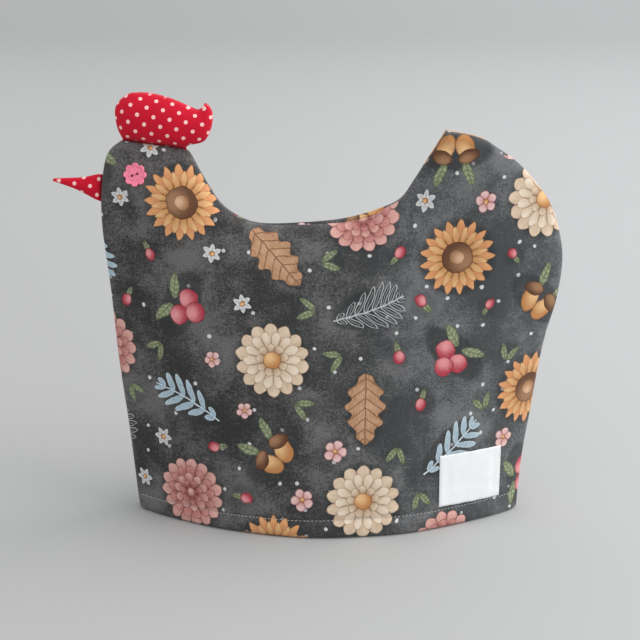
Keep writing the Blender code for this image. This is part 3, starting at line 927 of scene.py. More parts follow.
TIE_DROPS = (1.1, 0.45), (0.8, 0.18)    # past which share of a hole's place it drops, and by how much
SHANK_RADIUS, SHANK_BEVEL = 0.0013, 0.0003


def petal_reach(angle):
    """The share of the radius where a petal's edge is, by the angle from its middle."""
    side = PETAL_CENTRE * math.sin(angle)
    return PETAL_CENTRE * math.cos(angle) + math.sqrt(PETAL_ROUND ** 2 - side ** 2)


def petal_angle(place):
    """The angle from the middle of the nearest petal."""
    sector = 2 * math.pi / PETALS
    return abs((math.atan2(place.x, place.y) + sector / 2) % sector - sector / 2)


def mould_button(name, trim):
    """A flower button lying on the ground, with cushioned petals, a flat hub and two holes."""
    radius, thick = trim.button_radius, trim.button_thickness
    step = 2 * math.pi / PETALS / PETAL_STEPS
    numbers = range(PETAL_STEPS // 2 + 1)
    outline = [petal_reach(number * step) for number in numbers]
    groove_steps = PETAL_STEPS / 2 - GROOVE_START
    grooves = [max(0, (number - GROOVE_START) / groove_steps) ** GROOVE_SHAPE for number in numbers]
    button = add_primitive("circle", name, vertices=PETALS * PETAL_STEPS, radius=radius, fill_type="NGON")
    bpy.ops.object.mode_set(mode="EDIT")
    # A new ring is raised by twice the thickness, so that its points can be told from the others
    raised = 2 * thick

    def shape_ring(factors, moves):
        """Scale and lift the ring that has just been raised, by the angle within a petal."""
        for number, factor, move in zip(numbers, factors, moves):
            select_where(button, lambda place: place.z > 1.5 * thick
                         and abs(petal_angle(place) - number * step) < step / 3)
            bpy.ops.transform.resize(value=(factor, factor, 1), center_override=(0, 0, 0))
            bpy.ops.transform.translate(value=(0, 0, move))

    def raise_top():
        """Extrude the face inside the last ring."""
        bpy.ops.mesh.select_all(action="DESELECT")
        edit = bmesh.from_edit_mesh(button.data)
        wide = [face for face in edit.faces if len(face.verts) > 4]
        max(wide, key=lambda face: face.calc_center_median().z).select_set(True)
        bmesh.update_edit_mesh(button.data)
        bpy.ops.mesh.extrude_region_move(TRANSFORM_OT_translate={"value": (0, 0, raised)})

    bpy.ops.transform.translate(value=(0, 0, raised))
    reach, heights = [UNDERSIDE * out for out in outline], [0.0] * len(outline)
    shape_ring(reach, [-raised] * len(outline))
    for share, rise, groove, circle in FACE:
        raise_top()
        wanted = [share * ((1 - circle) * out + circle * CIRCLE_REACH) for out in outline]
        goal = [thick * (rise - groove * each) for each in grooves]
        shape_ring([new / old for new, old in zip(wanted, reach)],
                   [new - old - raised for new, old in zip(goal, heights)])
        reach, heights = wanted, goal
    bpy.ops.object.mode_set(mode="OBJECT")
    subdivide(button, "Moulded edges", 1)
    apply_modifiers(button)
    for off_centre in (-1, 1):
        at = Vector((math.cos(BUTTON_TURN), math.sin(BUTTON_TURN), 0)) * off_centre * HOLE_SPACING / 2
        drill = add_primitive("cylinder", "drill", vertices=24, radius=HOLE_RADIUS, depth=4 * thick,
                              location=at)
        cut = button.modifiers.new("Hole", "BOOLEAN")
        cut.operation, cut.solver, cut.object = "DIFFERENCE", "EXACT", drill
        apply_modifiers(button)
        bpy.data.objects.remove(drill)
    bpy.ops.object.shade_smooth_by_angle(angle=math.radians(40))
    return button


def loop_thread(name, trim):
    """The thread that holds a button: a bar between its holes, and a shank under it."""
    thick, half = trim.button_thickness, HOLE_SPACING / 2
    bar = add_primitive("cylinder", name, vertices=10, radius=TIE_RADIUS, depth=HOLE_SPACING * TIE_LENGTH,
                        rotation=(0, math.pi / 2, 0))
    keep_place_in_mesh()
    bpy.ops.object.mode_set(mode="EDIT")
    for share in (*(-each for each in reversed(TIE_CUTS)), *TIE_CUTS):
        bpy.ops.mesh.select_all(action="SELECT")
        bpy.ops.mesh.bisect(plane_co=(half * share, 0, 0), plane_no=(1, 0, 0))
    for share, drop in TIE_DROPS:
        select_where(bar, lambda place: abs(place.x) > half * share)
        bpy.ops.transform.translate(value=(0, 0, -drop * thick))
    bpy.ops.mesh.select_all(action="SELECT")
    bpy.ops.transform.translate(value=(0, 0, TIE_HEIGHT * thick))
    bpy.ops.object.mode_set(mode="OBJECT")
    subdivide(bar, "Smooth thread", 1)
    apply_modifiers(bar)
    place_at(bar, Matrix.Rotation(BUTTON_TURN, 4, "Z"))
    shank = add_primitive("cylinder", "shank", vertices=14, radius=SHANK_RADIUS,
                          depth=trim.button_lift + thick / 2, location=(0, 0, -trim.button_lift / 2))
    bpy.ops.object.mode_set(mode="EDIT")
    bpy.ops.mesh.select_all(action="SELECT")
    bpy.ops.mesh.bevel(offset=SHANK_BEVEL, segments=2, affect="EDGES")
    bpy.ops.object.mode_set(mode="OBJECT")
    select_only(shank, bar)
    bpy.ops.object.join()
    bpy.ops.object.shade_smooth()
    return bar


# ---------------------------------------------------------------- label and stitches

STITCH_PLUMP = 1.12         # a stitch is this much thicker between its two ends
STITCH_DIP = 0.35           # how far its ends go down, as a share of the thread's thickness
STITCH_RISE = 0.25          # how far its middle stands off the cloth, as the same share
# How unevenly the stitches are sewn: out of place, as a share of the pitch, out of line, and how long
STITCH_SLIP, STITCH_SLANT, STITCH_LENGTHS = 0.04, 0.05, (0.92, 1.06)
STITCH_HALF = 0.3           # a stitch points along this share of the pitch to either side


def one_stitch(trim):
    """One stitch along X: a short thread whose ends go down into the cloth."""
    stitch = add_primitive("uv_sphere", "stitch", segments=8, ring_count=7, radius=0.5,
                           rotation=(0, math.pi / 2, 0))
    keep_place_in_mesh()
    bpy.ops.object.mode_set(mode="EDIT")
    select_where(stitch, lambda place: 0.05 < abs(place.x) < 0.45)
    bpy.ops.transform.resize(value=(1, STITCH_PLUMP, STITCH_PLUMP), center_override=(0, 0, 0))
    select_where(stitch, lambda place: abs(place.x) > 0.3)
    bpy.ops.transform.translate(value=(0, 0, -STITCH_DIP))
    bpy.ops.mesh.select_all(action="SELECT")
    bpy.ops.transform.resize(value=(trim.stitch, trim.thread_width, trim.thread_width),
                             center_override=(0, 0, 0))
    bpy.ops.object.mode_set(mode="OBJECT")
    return stitch


def sew_along(name, lines, trim, seed, pitch):
    """Stitches along lines. Each line is its points and the outward directions there."""
    stitch = one_stitch(trim)
    model = coordinates(stitch.data.vertices)
    faces = [list(face.vertices) for face in stitch.data.polygons]
    bpy.data.objects.remove(stitch)
    rng = np.random.RandomState(seed)
    points, all_faces = [], []
    for line, outward in lines:
        size = runs(line)[-1]
        count = int(size / pitch)
        for number in range(count):
            middle = (number + 0.5 + rng.uniform(-STITCH_SLIP, STITCH_SLIP)) / count
            half = STITCH_HALF * pitch / size
            back, at, ahead = along(line, np.array([middle - half, middle, middle + half]))
            x_axis = unit(ahead - back)
            up = along(np.hstack([line, outward]), np.array([middle]))[0, 3:]
            up = unit(up - x_axis * (up @ x_axis))
            side = np.cross(up, x_axis)
            slant = rng.uniform(-STITCH_SLANT, STITCH_SLANT)
            x_axis, side = x_axis + slant * side, side - slant * x_axis
            scale = rng.uniform(*STITCH_LENGTHS)
            place = (at + model[:, :1] * x_axis * scale + model[:, 1:2] * side
                     + (model[:, 2:] + STITCH_RISE * trim.thread_width) * up)
            all_faces += [[n + len(points) * len(model) for n in face] for face in faces]
            points.append(place)
    return closed_mesh(name, np.vstack(points), all_faces)


LABEL_COLUMNS, LABEL_ROWS = 54, 40
LABEL_CLEAR = 0.0003        # how far the label stays off the cloth where it is sewn
LABEL_SLACK, SLACK_FROM, SLACK_WHOLE = 0.0004, 0.006, 0.012  # how much further its middle stands off
LABEL_WAVE, LABEL_WAVES = 0.0002, (0.011, 0.017)    # how far its long edges lift, and the wavelengths
WAVE_REACH = 0.006          # how far in from those edges the cloth lifts
LABEL_FOLD, FOLD_TO, FOLD_GONE = 0.2, 0.0036, 0.0062    # how much thicker the folded ends are
LABEL_RIM, RIM_SHARE = 0.0007, 0.45     # how far its edges are rounded, and how thick they are there
LABEL_SEWN = 0.0016         # from its ends to the stitches
LABEL_STITCH_PITCH = 0.0026


def spacing(grid, axis):
    """How far along a grid of points each of its rows or columns is, on average."""
    steps = np.linalg.norm(np.diff(grid, axis=axis), axis=-1)
    return np.concatenate([[0], np.cumsum(steps.mean(axis=1 - axis))])


def cut_label(name, tree, trim):
    """A blank woven label that lies on the front panel, with its two ends folded under."""
    xs = np.linspace(*LABEL_SPAN, LABEL_COLUMNS + 1)
    left, right = (np.linspace(*each, LABEL_ROWS + 1) for each in LABEL_RISE)
    zs = np.linspace(left, right, LABEL_COLUMNS + 1).T
    hits = [[on_surface(tree, x, z, -1) for x, z in zip(xs, row)] for row in zs]
    ground, normal = (np.array([[hit[part] for hit in row] for row in hits]) for part in (0, 1))
    normal = unit(normal.mean(axis=(0, 1)) * 0.5 + normal * 0.5)
    across, up = spacing(ground, 1), spacing(ground, 0)
    end = np.minimum(across, across[-1] - across)[None, :]
    side = np.minimum(up, up[-1] - up)[:, None]
    # The folded ends are thicker, the middle lies slack, and the long edges lift a little
    lift = LABEL_CLEAR + LABEL_SLACK * ease(end, SLACK_FROM, SLACK_WHOLE) * ease(side, 0.0, SLACK_WHOLE)
    lift = lift + LABEL_WAVE * ripple(across, LABEL_WAVES, 3)[None, :] * ease(-side, -WAVE_REACH, 0.0)
    thick = trim.label_thickness * (1 + LABEL_FOLD * (1 - ease(end, FOLD_TO, FOLD_GONE)))
    thick = thick * (RIM_SHARE + (1 - RIM_SHARE) * rounded(np.minimum(end, side), LABEL_RIM))
    places = np.stack(np.meshgrid(across, up), axis=-1)
    points = Points()
    face_up = ground + normal * (lift + thick)[..., None]
    below = points.add(ground + normal * lift[..., None], places)
    above = points.add(face_up, places)
    faces = grid_faces(below) + grid_faces(above)
    for edge in (np.s_[0], np.s_[-1], np.s_[:, 0], np.s_[:, -1]):
        faces += faces_between(below[edge], above[edge])
    label = closed_mesh(name, np.vstack(points.points), faces, [np.vstack(points.places)] * 2)
    sewn = (int(np.searchsorted(across, at)) for at in (LABEL_SEWN, across[-1] - LABEL_SEWN))
    lines = [(face_up[1:-1, column], normal[1:-1, column]) for column in sewn]
    return label, (float(across[-1]), float(up[-1])), lines


# ---------------------------------------------------------------- materials

class Ink:
    """A number that varies over a surface. Python's operators on it add the Math nodes."""

    def __init__(self, recipe, socket):
        self.recipe, self.socket = recipe, socket

    def __add__(self, other):
        return self.recipe.math("ADD", self, other)

    def __sub__(self, other):
        return self.recipe.math("SUBTRACT", self, other)

    def __rsub__(self, other):
        return self.recipe.math("SUBTRACT", other, self)

    def __mul__(self, other):
        return self.recipe.math("MULTIPLY", self, other)

    def __truediv__(self, other):
        return self.recipe.math("DIVIDE", self, other)

    def __pow__(self, other):
        return self.recipe.math("POWER", self, other)

    def __mod__(self, other):
        return self.recipe.math("FLOORED_MODULO", self, other)

    def __lt__(self, other):
        return self.recipe.math("LESS_THAN", self, other)

    def __gt__(self, other):
        return self.recipe.math("GREATER_THAN", self, other)

    def __abs__(self):
        return self.recipe.math("ABSOLUTE", self)

    __radd__, __rmul__ = __add__, __mul__


def numbered(values):
    """Values for a node's inputs by their number, for inputs that share a name."""
    return {f"_{number}": value for number, value in enumerate(values)}


class Recipe:
    """The nodes of one material."""

    def __init__(self, name):
        self.material = bpy.data.materials.new(name)
        self.material.use_nodes = True
        self.nodes, self.links = self.material.node_tree.nodes, self.material.node_tree.links
        self.shader = self.nodes["Principled BSDF"]

    def connect(self, value, socket):
        """Give an input a link, a colour or a number."""
        if isinstance(value, Ink):
            value = value.socket
        if isinstance(value, bpy.types.NodeSocket):
            self.links.new(value, socket)
        elif socket.type == "RGBA" and len(value) == 3:
            socket.default_value = (*value, 1)
        else:
            socket.default_value = value

    def add(self, kind, settings=None, **values):
        """A node of a type, with its settings first and then the values or links of its inputs."""
        node = self.nodes.new("ShaderNode" + kind)
        for key, value in (settings or {}).items():
            setattr(node, key, value)
        for key, value in values.items():
            socket = node.inputs[int(key[1:])] if key[0] == "_" else node.inputs[key.replace("_", " ")]
            self.connect(value, socket)
        return node

    def math(self, operation, *values):
        return Ink(self, self.add("Math", {"operation": operation}, **numbered(values)).outputs[0])

    def vector(self, operation, *values):
        return self.add("VectorMath", {"operation": operation}, **numbered(values)).outputs[0]

    def join(self, *values):
        return self.add("CombineXYZ", None, **numbered(values)).outputs[0]

    def parts(self, vector):
        return [Ink(self, socket) for socket in self.add("SeparateXYZ", None, Vector=vector).outputs]

    def soft(self, value, low, high, start=0.0, end=1.0):
        """Changes smoothly from start at low to end at high."""
        node = self.add("MapRange", {"interpolation_type": "SMOOTHSTEP"}, Value=value, _1=low, _2=high,
                        _3=start, _4=end)
        return Ink(self, node.outputs[0])

    def mix(self, share, first, second):
        """From one colour to another."""
        node = self.add("Mix", {"data_type": "RGBA"}, _0=share, _6=first, _7=second)
        return node.outputs[2]

    def noise(self, place, size, detail=2.0, rough=0.5):
        """Cloudy noise from 0 to 1 whose patches are about that large."""
        node = self.add("TexNoise", None, Vector=place, Scale=1 / size, Detail=detail, Roughness=rough)
        return Ink(self, node.outputs["Fac"])

    def chances(self, *cell):
        """Three random numbers from 0 to 1 that are the same all over one cell."""
        node = self.add("TexWhiteNoise", {"noise_dimensions": "3D"}, Vector=self.join(*cell))
        return self.parts(node.outputs["Color"])

    def distance(self, x, y):
        return self.math("SQRT", x * x + y * y)

    def cloth_place(self):
        """Where a point was on the flat cloth, in metres."""
        return self.add("UVMap", {"uv_map": "cut"}).outputs[0]

    def object_place(self):
        return self.add("TexCoord").outputs["Object"]

    def shaded(self, share, tint, dark):
        """A colour that is darker by a factor where the share is high."""
        return self.mix(share, tuple(tint), tuple(dark * c for c in tint))

    def surface(self, colour, roughness, **constants):
        self.connect(colour, self.shader.inputs["Base Color"])
        self.connect(roughness, self.shader.inputs["Roughness"])
        for key, value in constants.items():
            self.shader.inputs[key.replace("_", " ")].default_value = value

    def woven(self, place, pitch, height, strength):
        """The relief of plain weave, a little uneven."""
        x, y, _ = self.parts(place)
        slub = self.noise(self.vector("MULTIPLY", place, (1.0, 0.12, 1.0)), pitch * 3, 1.0)
        over = self.math("SINE", x * (math.pi / pitch)) * self.math("SINE", y * (math.pi / pitch))
        relief = over * 0.35 + slub * 0.5 + 0.25
        node = self.add("Bump", None, Strength=strength, Distance=height, Height=relief)
        self.links.new(node.outputs[0], self.shader.inputs["Normal"])


class Print(Recipe):
    """A material painted in layers. Each motif is drawn about its own middle, in drawing units.

    Shown is 1 where a motif is and 0 elsewhere, and grain is the noise that shades it.
    """

    colour = None

    def lay(self, share, colour):
        """Paint a colour over what is there."""
        self.colour = self.mix(share, self.colour, colour)

    def draw(self, inside, edge, tone, colours, line=0.55):
        """A shaded shape with a thin darker line at its edge, by the distance in from there."""
        shade, light, outline = colours
        fill = self.mix(tone, shade, light)
        fill = self.mix(self.soft(edge, line * 1.7, line * 0.4, 0, 0.75), fill, outline)
        self.lay(inside, fill)

    def turned(self, x, y, angle):
        """A place turned about the middle, by radians."""
        if isinstance(angle, Ink):
            c, s = self.math("COSINE", angle), self.math("SINE", angle)
        else:
            c, s = math.cos(angle), math.sin(angle)
        return x * c + y * s, y * c - x * s

    def toss(self, x, y, cell, slip, seed):
        """Scatter a motif in half-drop rows, one to a cell and each at its own turn.

        Gives x and y about the motif's middle, the cell's column and row, and its chances.
        """
        wide, tall = cell
        column = self.math("FLOOR", x / wide)
        y = y + (column % 2) * (tall / 2)
        row = self.math("FLOOR", y / tall)
        chance = self.chances(column, row, seed)
        x = x - column * wide - wide / 2 - (chance[0] - 0.5) * (2 * slip)
        y = y - row * tall - tall / 2 - (chance[1] - 0.5) * (2 * slip)
        return (*self.turned(x, y, chance[2] * (2 * math.pi)), column, row, chance)

    def petals(self, r, angle, colours, shown, grain, count, size, scallop, turn=0.0, sharp=2.0,
               heart=0.0):
        """One ring of petals around a flower's middle, with drawn edges and streaks to the middle.

        Scallop is how deep the notches between them are, turn a share of one petal, and heart where
        the shading starts.
        """
        sector = 2 * math.pi / count
        across = abs((angle / sector + turn) % 1 - 0.5) * 2
        rim = size - (across ** sharp) * scallop
        edge = self.math("MINIMUM", rim - r, (1 - across) * r * (sector / 2))
        inside = self.soft(rim - r, -0.15, 0.2) * shown
        tone = self.soft(r, heart, size) * 0.75 + grain * 0.9 - 0.35 - across * 0.15
        self.draw(inside, edge, tone, colours)

    def blob(self, x, y, colours, shown, grain, size, at=(0, 0)):
        """A round or oval berry or seed with a soft highlight. Size is its two radii."""
        a, b = (x - at[0]) / size[0], (y - at[1]) / size[1]
        r, small = self.distance(a, b), min(size)
        lit = self.distance(a - SHINE[0], b - SHINE[1])
        tone = self.soft(lit, 1.25, 0.1) + grain * 0.7 - 0.35
        inside = self.soft(r, 1 + 0.2 / small, 1 - 0.2 / small) * shown
        self.draw(inside, (1 - r) * small, tone, colours)

    def leaf(self, x, y, colours, shown, grain, long, wide, veins, lobes=0.0):
        """A leaf along x from 0 to its length, with a midrib and side veins."""
        t = x / long
        body = self.math("MAXIMUM", t * (1 - t) * 4, 0.0001) ** 0.75 * (1.15 - t * 0.3)
        if lobes:
            body = body * (self.math("SINE", t * (2 * math.pi * lobes) + 0.9) * 0.17 + 0.9)
        side = abs(y)
        edge = body * (wide / 2) - side
        inside = self.soft(edge, -0.15, 0.25) * shown * (t > 0) * (t < 1)
        rib = self.math("MINIMUM", side - 0.15, abs((x - side * 0.75) % veins - veins / 2) * 0.8)
        tone = grain * 1.5 - 0.45 + self.soft(edge, 0, wide / 2) * 0.35
        self.draw(inside, self.math("MINIMUM", edge, rib + 0.15), tone, colours)

    def sprig(self, x, y, colours, shown, grain, long, spread, pitch, plump, hollow=0.0):
        """A curved stem along x with pairs of slanting leaflets, filled in or only drawn.

        Spread is how far they reach, pitch from one to the next, plump their half width, and hollow
        the width of the line where they are only drawn.
        """
        bend = y - (x / long) * (x / long) * 9 + 2
        side = abs(bend)
        skew = x - side * 0.8
        number = self.math("FLOOR", skew / pitch)
        middle = (number + 0.5) * (pitch / long)
        reach = self.math("MAXIMUM", 1 - middle * middle * 4, 0.02) * spread
        out = side / reach
        thick = self.math("SQRT", self.math("MAXIMUM", out * (1 - out), 0)) * (2 * plump)
        from_vein = abs(skew - (number + 0.5) * pitch)
        edge = thick - from_vein
        if hollow:
            drawn = self.soft(abs(edge), hollow, hollow * 0.3) * (out < 1.05)
            vein = self.soft(from_vein, 0.4, 0.1, 0, 0.7) * (out < 0.8)
            shape = self.math("MAXIMUM", drawn, vein)
        else:
            shape = self.soft(edge, -0.1, 0.25)
        stem = self.soft(side, 0.75, 0.35)
        shape = self.math("MAXIMUM", shape, stem) * (shown * (abs(x) < long / 2))
        if hollow:
            self.lay(shape * (grain * 0.7 + 0.45), colours[1])
        else:
            self.draw(shape, edge, grain * 1.6 - 0.5 + out * 0.3, colours, 0.45)


# The drawn motifs' colours: shade, light and outline
CREAM = (0.42, 0.27, 0.16), (0.80, 0.64, 0.48), (0.20, 0.115, 0.065)
CREAM_PALE = (0.55, 0.40, 0.27), (0.86, 0.74, 0.60), (0.30, 0.18, 0.10)
ROSE = (0.30, 0.085, 0.075), (0.66, 0.30, 0.26), (0.13, 0.035, 0.03)
ROSE_PALE = (0.42, 0.15, 0.13), (0.78, 0.46, 0.40), (0.16, 0.05, 0.04)
ORANGE = (0.47, 0.155, 0.055), (0.78, 0.40, 0.18), (0.20, 0.06, 0.02)
AMBER = (0.50, 0.22, 0.075), (0.80, 0.50, 0.24), (0.18, 0.07, 0.025)
BROWN = (0.12, 0.050, 0.025), (0.36, 0.19, 0.10), (0.06, 0.025, 0.012)
CARAMEL = (0.36, 0.175, 0.085), (0.66, 0.42, 0.26), (0.14, 0.065, 0.03)
BLUE = (0.24, 0.35, 0.42), (0.56, 0.68, 0.74), (0.70, 0.78, 0.82)
CHALK = (0.45, 0.45, 0.45), (0.62, 0.63, 0.63), (0.75, 0.75, 0.75)
BERRY = (0.42, 0.045, 0.07), (0.76, 0.30, 0.31), (0.16, 0.02, 0.025)
GREEN = (0.17, 0.20, 0.10), (0.46, 0.50, 0.32), (0.08, 0.10, 0.05)
BLUSH = (0.62, 0.30, 0.29), (0.84, 0.62, 0.58), (0.35, 0.12, 0.12)
HALO, SMALL_HALO = (0.026, 0.028, 0.029), (0.03, 0.032, 0.033)
WASH_SHIFT = (3.7, 1.9, 0)  # so that the wash doesn't follow the clouds

PRINT_SCALE = 1090          # drawing units to a metre
HAND, HAND_STEADY = 2.2, 140    # how far the drawn lines waver, and how often to a metre
SHINE = (-0.3, 0.35)        # where the highlight of a berry is, as shares of its radii
DOT_CELL, DOT_SLIP, DOT_SHIFT = (23, 24), 8, (14, 9)
DOT_EDGE, DOTS_LEFT_OUT = (1.7, 1.3), 0.35
LARGE_CELL, LARGE_SLIP, LARGE_SHIFT = (72, 78), 3, (-8, 12)
LARGE_MOTIFS = "daisy", "dahlia", "sunflower", "oak leaf", "blue sprig", "acorns", "chalk sprig", "berries"
# Each flower's rings of petals from the outside in, and its round middles: radius and colours
FLOWERS = {
    "daisy": ([dict(colours=CREAM, count=14, size=29.5, scallop=5.0, heart=8),
               dict(colours=CREAM_PALE, count=14, size=23, scallop=5.5, turn=0.5, heart=6),
               dict(colours=CREAM, count=9, size=13.5, scallop=3.0, turn=0.2, heart=5)],
              [(7, AMBER)]),
    "dahlia": ([dict(colours=ROSE_PALE, count=15, size=29, scallop=4.2, heart=13.05),
                dict(colours=ROSE, count=13, size=22.5, scallop=4.2, turn=0.5, heart=10.125),
                dict(colours=ROSE_PALE, count=10, size=16.5, scallop=3.8, turn=0.2, heart=7.425),
                dict(colours=ROSE, count=7, size=10.5, scallop=3.2, turn=0.7, heart=4.725)],
               [(4, ROSE_PALE)]),
    "sunflower": ([dict(colours=ORANGE, count=17, size=30, scallop=9.5, sharp=1.35, heart=10),
                   dict(colours=AMBER, count=17, size=24.5, scallop=8.5, turn=0.5, sharp=1.35, heart=9)],
                  [(12.5, BROWN), (6, CARAMEL)]),
}


def print_ground(paint, place, cloth):
    """The dark, chalky ground, with painted light: paler and cooler towards the tail, where the light comes
    from, and painted shade at the head. Gives the noise of its specks.
    """
    across, _, height = paint.parts(paint.object_place())
    # Painted light over the print: paler and cooler towards the tail, the side of the main light, and
    # darker and warmer at the head as painted shade
    painted_light_tailward = paint.soft(across, -0.08, 0.20)
    crown = paint.soft(height, 0.20, 0.26, 0, 0.10) * (1 - painted_light_tailward)
    dark = paint.mix(painted_light_tailward, tuple(cloth.ground), tuple(cloth.ground_tail))
    light = paint.mix(painted_light_tailward, tuple(cloth.cloud), tuple(cloth.cloud_tail))
    cloud = paint.noise(place, size=0.055, detail=3.0, rough=0.55)
    wash = paint.noise(paint.vector("ADD", place, WASH_SHIFT), size=0.016, detail=3.0, rough=0.6)
    speck = paint.noise(place, size=0.0011, rough=0.7)
    grit = paint.noise(place, size=0.0026, rough=0.7)
    chalky = cloud + (wash - 0.5) * 0.35 + (grit - 0.5) * 0.4 + (speck - 0.5) * 0.7 + crown
    paint.colour = paint.mix(paint.soft(chalky, 0.38, 0.70), dark, light)
    return speck


def print_small_motifs(paint, x, y, column, grain):
    """A blossom, a pair of leaves or a hip, half a cell up from each large motif and to either side."""
    wide, tall = LARGE_CELL
    x = x - (column + 0.5) * wide
    y = y + (column % 2) * (tall / 2)
    half_row = paint.math("FLOOR", y / tall + 0.5)
    luck = paint.chances(column * 2 + paint.math("SIGN", x), half_row, 52.0)
    x = abs(x) - 24.5 - (luck[0] - 0.5) * 4
    y = y - half_row * tall - (luck[1] - 0.5) * 12
    size = luck[1] * 0.4 + 0.85
    x, y = paint.turned(x / size, y / size, luck[2] * FULL_TURN)
    r, angle, choice = paint.distance(x, y), paint.math("ARCTAN2", y, x), luck[0]
    pink, blossom, hip = choice < 0.30, choice < 0.55, choice > 0.78
    white, leaves = (choice > 0.30) * blossom, (choice > 0.55) * (choice < 0.78)
    paint.lay(paint.soft(r, 12, 6, 0, 0.35), SMALL_HALO)
    paint.petals(r, angle, BLUSH, pink, grain, count=5, size=7.6, scallop=2.6, sharp=2.2)
    paint.petals(r, angle, CHALK, white, grain, count=6, size=6.8, scallop=3.4, sharp=1.2)
    paint.blob(x, y, AMBER, blossom, grain, size=(1.9, 1.9))
    leaf_x, leaf_y = paint.turned(x + 8, abs(y), 0.5)
    paint.leaf(leaf_x, leaf_y - 0.6, GREEN, leaves, grain, long=15, wide=5.6, veins=3.2)
    paint.leaf(1 - x, y, GREEN, hip, grain, long=9, wide=4.2, veins=3)
    paint.blob(x, y, BERRY, hip, grain, size=(4.6, 3.8), at=(3.2, 0))


def print_large_motifs(paint, x, y, kind, grain, speck):
    """Flowers, an oak leaf, two kinds of sprig, acorns and berries, on soft dark halos."""
    is_round = kind < 2.5
    reach = paint.distance(x, y * (2.1 - is_round * 1.1))
    paint.lay(paint.soft(reach, 33, 27, 0, 0.6), HALO)
    shown = {name: paint.math("COMPARE", kind, number, 0.5) for number, name in enumerate(LARGE_MOTIFS)}
    r, angle = paint.distance(x, y), paint.math("ARCTAN2", y, x)
    streak = paint.noise(paint.join(r * 0.10, angle * 7, kind), size=1, rough=0.6)
    for name, (rings, middles) in FLOWERS.items():
        for ring in rings:
            paint.petals(r, angle, shown=shown[name], grain=streak, **ring)
        for radius, colours in middles:
            paint.blob(x, y, colours, shown[name], speck, size=(radius, radius))

    paint.leaf(x + 29, y, CARAMEL, shown["oak leaf"], grain, long=58, wide=31, veins=8, lobes=4.5)
    paint.sprig(x, y, BLUE, shown["blue sprig"], grain, long=60, spread=15, pitch=9.5, plump=3.4)
    paint.sprig(x, y, CHALK, shown["chalk sprig"], grain, long=58, spread=17, pitch=7, plump=2.6,
                hollow=0.55)
    nut_x, nut_y = paint.turned(abs(x) - 9, y, -0.35)
    paint.leaf(y - 8, nut_x + 4, GREEN, shown["acorns"], grain, long=19, wide=8, veins=4)
    paint.blob(nut_x, nut_y, AMBER, shown["acorns"], grain, size=(7.4, 10.5), at=(0, -4))
    paint.blob(nut_x, nut_y, BROWN, shown["acorns"], grain, size=(8.8, 5.4), at=(0, 4.2))
    paint.leaf(abs(x) - 2, y - 6 - abs(x) * 0.35, GREEN, shown["berries"], grain, long=20, wide=9, veins=4)
    for at in ((-8, -2), (7.5, -4), (0, -13)):
        paint.blob(x, y, BERRY, shown["berries"], grain, size=(8.2, 7.8), at=at)


def printed_cotton(cloth):
    """Cotton with a tossed print of flowers, leaves, acorns and berries, drawn as if in chalk."""
    paint = Print("printed_cotton")
    place = paint.cloth_place()
    speck = print_ground(paint, place, cloth)
    waver = paint.add("TexNoise", None, Vector=place, Scale=HAND_STEADY, Detail=1.0).outputs["Color"]
    waver = paint.vector("MULTIPLY", paint.vector("SUBTRACT", waver, (0.5, 0.5, 0.5)), (HAND, HAND, 0))
    scaled = paint.vector("MULTIPLY", place, (PRINT_SCALE, PRINT_SCALE, 0))
    x, y, _ = paint.parts(paint.vector("ADD", scaled, waver))

    # Small white dots, then small motifs in the gaps, then the large ones
    dot_x, dot_y, _, _, chance = paint.toss(x + DOT_SHIFT[0], y + DOT_SHIFT[1], DOT_CELL, DOT_SLIP, 3.0)
    dot = paint.soft(paint.distance(dot_x, dot_y), *DOT_EDGE) * (chance[2] > DOTS_LEFT_OUT)
    paint.lay(dot * 0.85, CHALK[2])
    x, y = x + LARGE_SHIFT[0], y + LARGE_SHIFT[1]
    large_x, large_y, column, row, _ = paint.toss(x, y, LARGE_CELL, LARGE_SLIP, 8.0)
    kind = (column + row * 3 + paint.math("FLOOR", column / 2) * 5) % len(LARGE_MOTIFS)
    grain = paint.noise(paint.join(large_x * 0.16, large_y * 0.9, kind), size=1, rough=0.6)
    print_small_motifs(paint, x, y, column, grain)
    print_large_motifs(paint, large_x, large_y, kind, grain, speck)
    paint.surface(paint.colour, roughness=0.88, Specular_IOR_Level=0.25, Sheen_Weight=0.12,
                  Sheen_Roughness=0.5)
    paint.woven(place, pitch=0.00042, height=0.00006, strength=0.5)
    return paint.material


def lining_cotton(tint):
    recipe = Recipe("lining_cotton")
    place = recipe.cloth_place()
    fleck = recipe.soft(recipe.noise(place, size=0.0011, detail=3.0), 0.35, 0.75)
    recipe.surface(recipe.shaded(fleck, tint, dark=0.78), roughness=0.9, Specular_IOR_Level=0.2,
                   Sheen_Weight=0.1, Sheen_Roughness=0.5)
    recipe.woven(place, pitch=0.0005, height=0.00008, strength=0.6)
    return recipe.material


def polka_dot_cotton(trim):
    recipe = Recipe("polka_dot_cotton")
    place = recipe.cloth_place()
    step = trim.dot_spacing
    turned = recipe.add("Mapping", None, Vector=place, Rotation=(0, 0, -DOT_TURN),
                        Location=(step / 2 - DOT_START[0], step / 2 - DOT_START[1], 0)).outputs[0]
    x, y, _ = recipe.parts(turned)
    away = recipe.distance(*((v % step) - step / 2 for v in (x, y)))
    dot = recipe.soft(away, trim.dot_size / 2 + DOT_BLUR, trim.dot_size / 2 - DOT_BLUR)
    ground = recipe.shaded(recipe.noise(place, size=0.02), trim.red, dark=0.8)
    recipe.surface(recipe.mix(dot, ground, tuple(trim.dot)), roughness=0.85, Specular_IOR_Level=0.15,
                   Sheen_Weight=0.05, Sheen_Roughness=0.5)
    recipe.woven(place, pitch=0.00040, height=0.00006, strength=0.5)
    return recipe.material


def moulded_plastic(tint):
    recipe = Recipe("button_plastic")
    mottle = recipe.noise(recipe.object_place(), size=0.004)
    recipe.surface(recipe.shaded(mottle, tint, dark=0.96), roughness=0.32, Specular_IOR_Level=0.35)
    return recipe.material


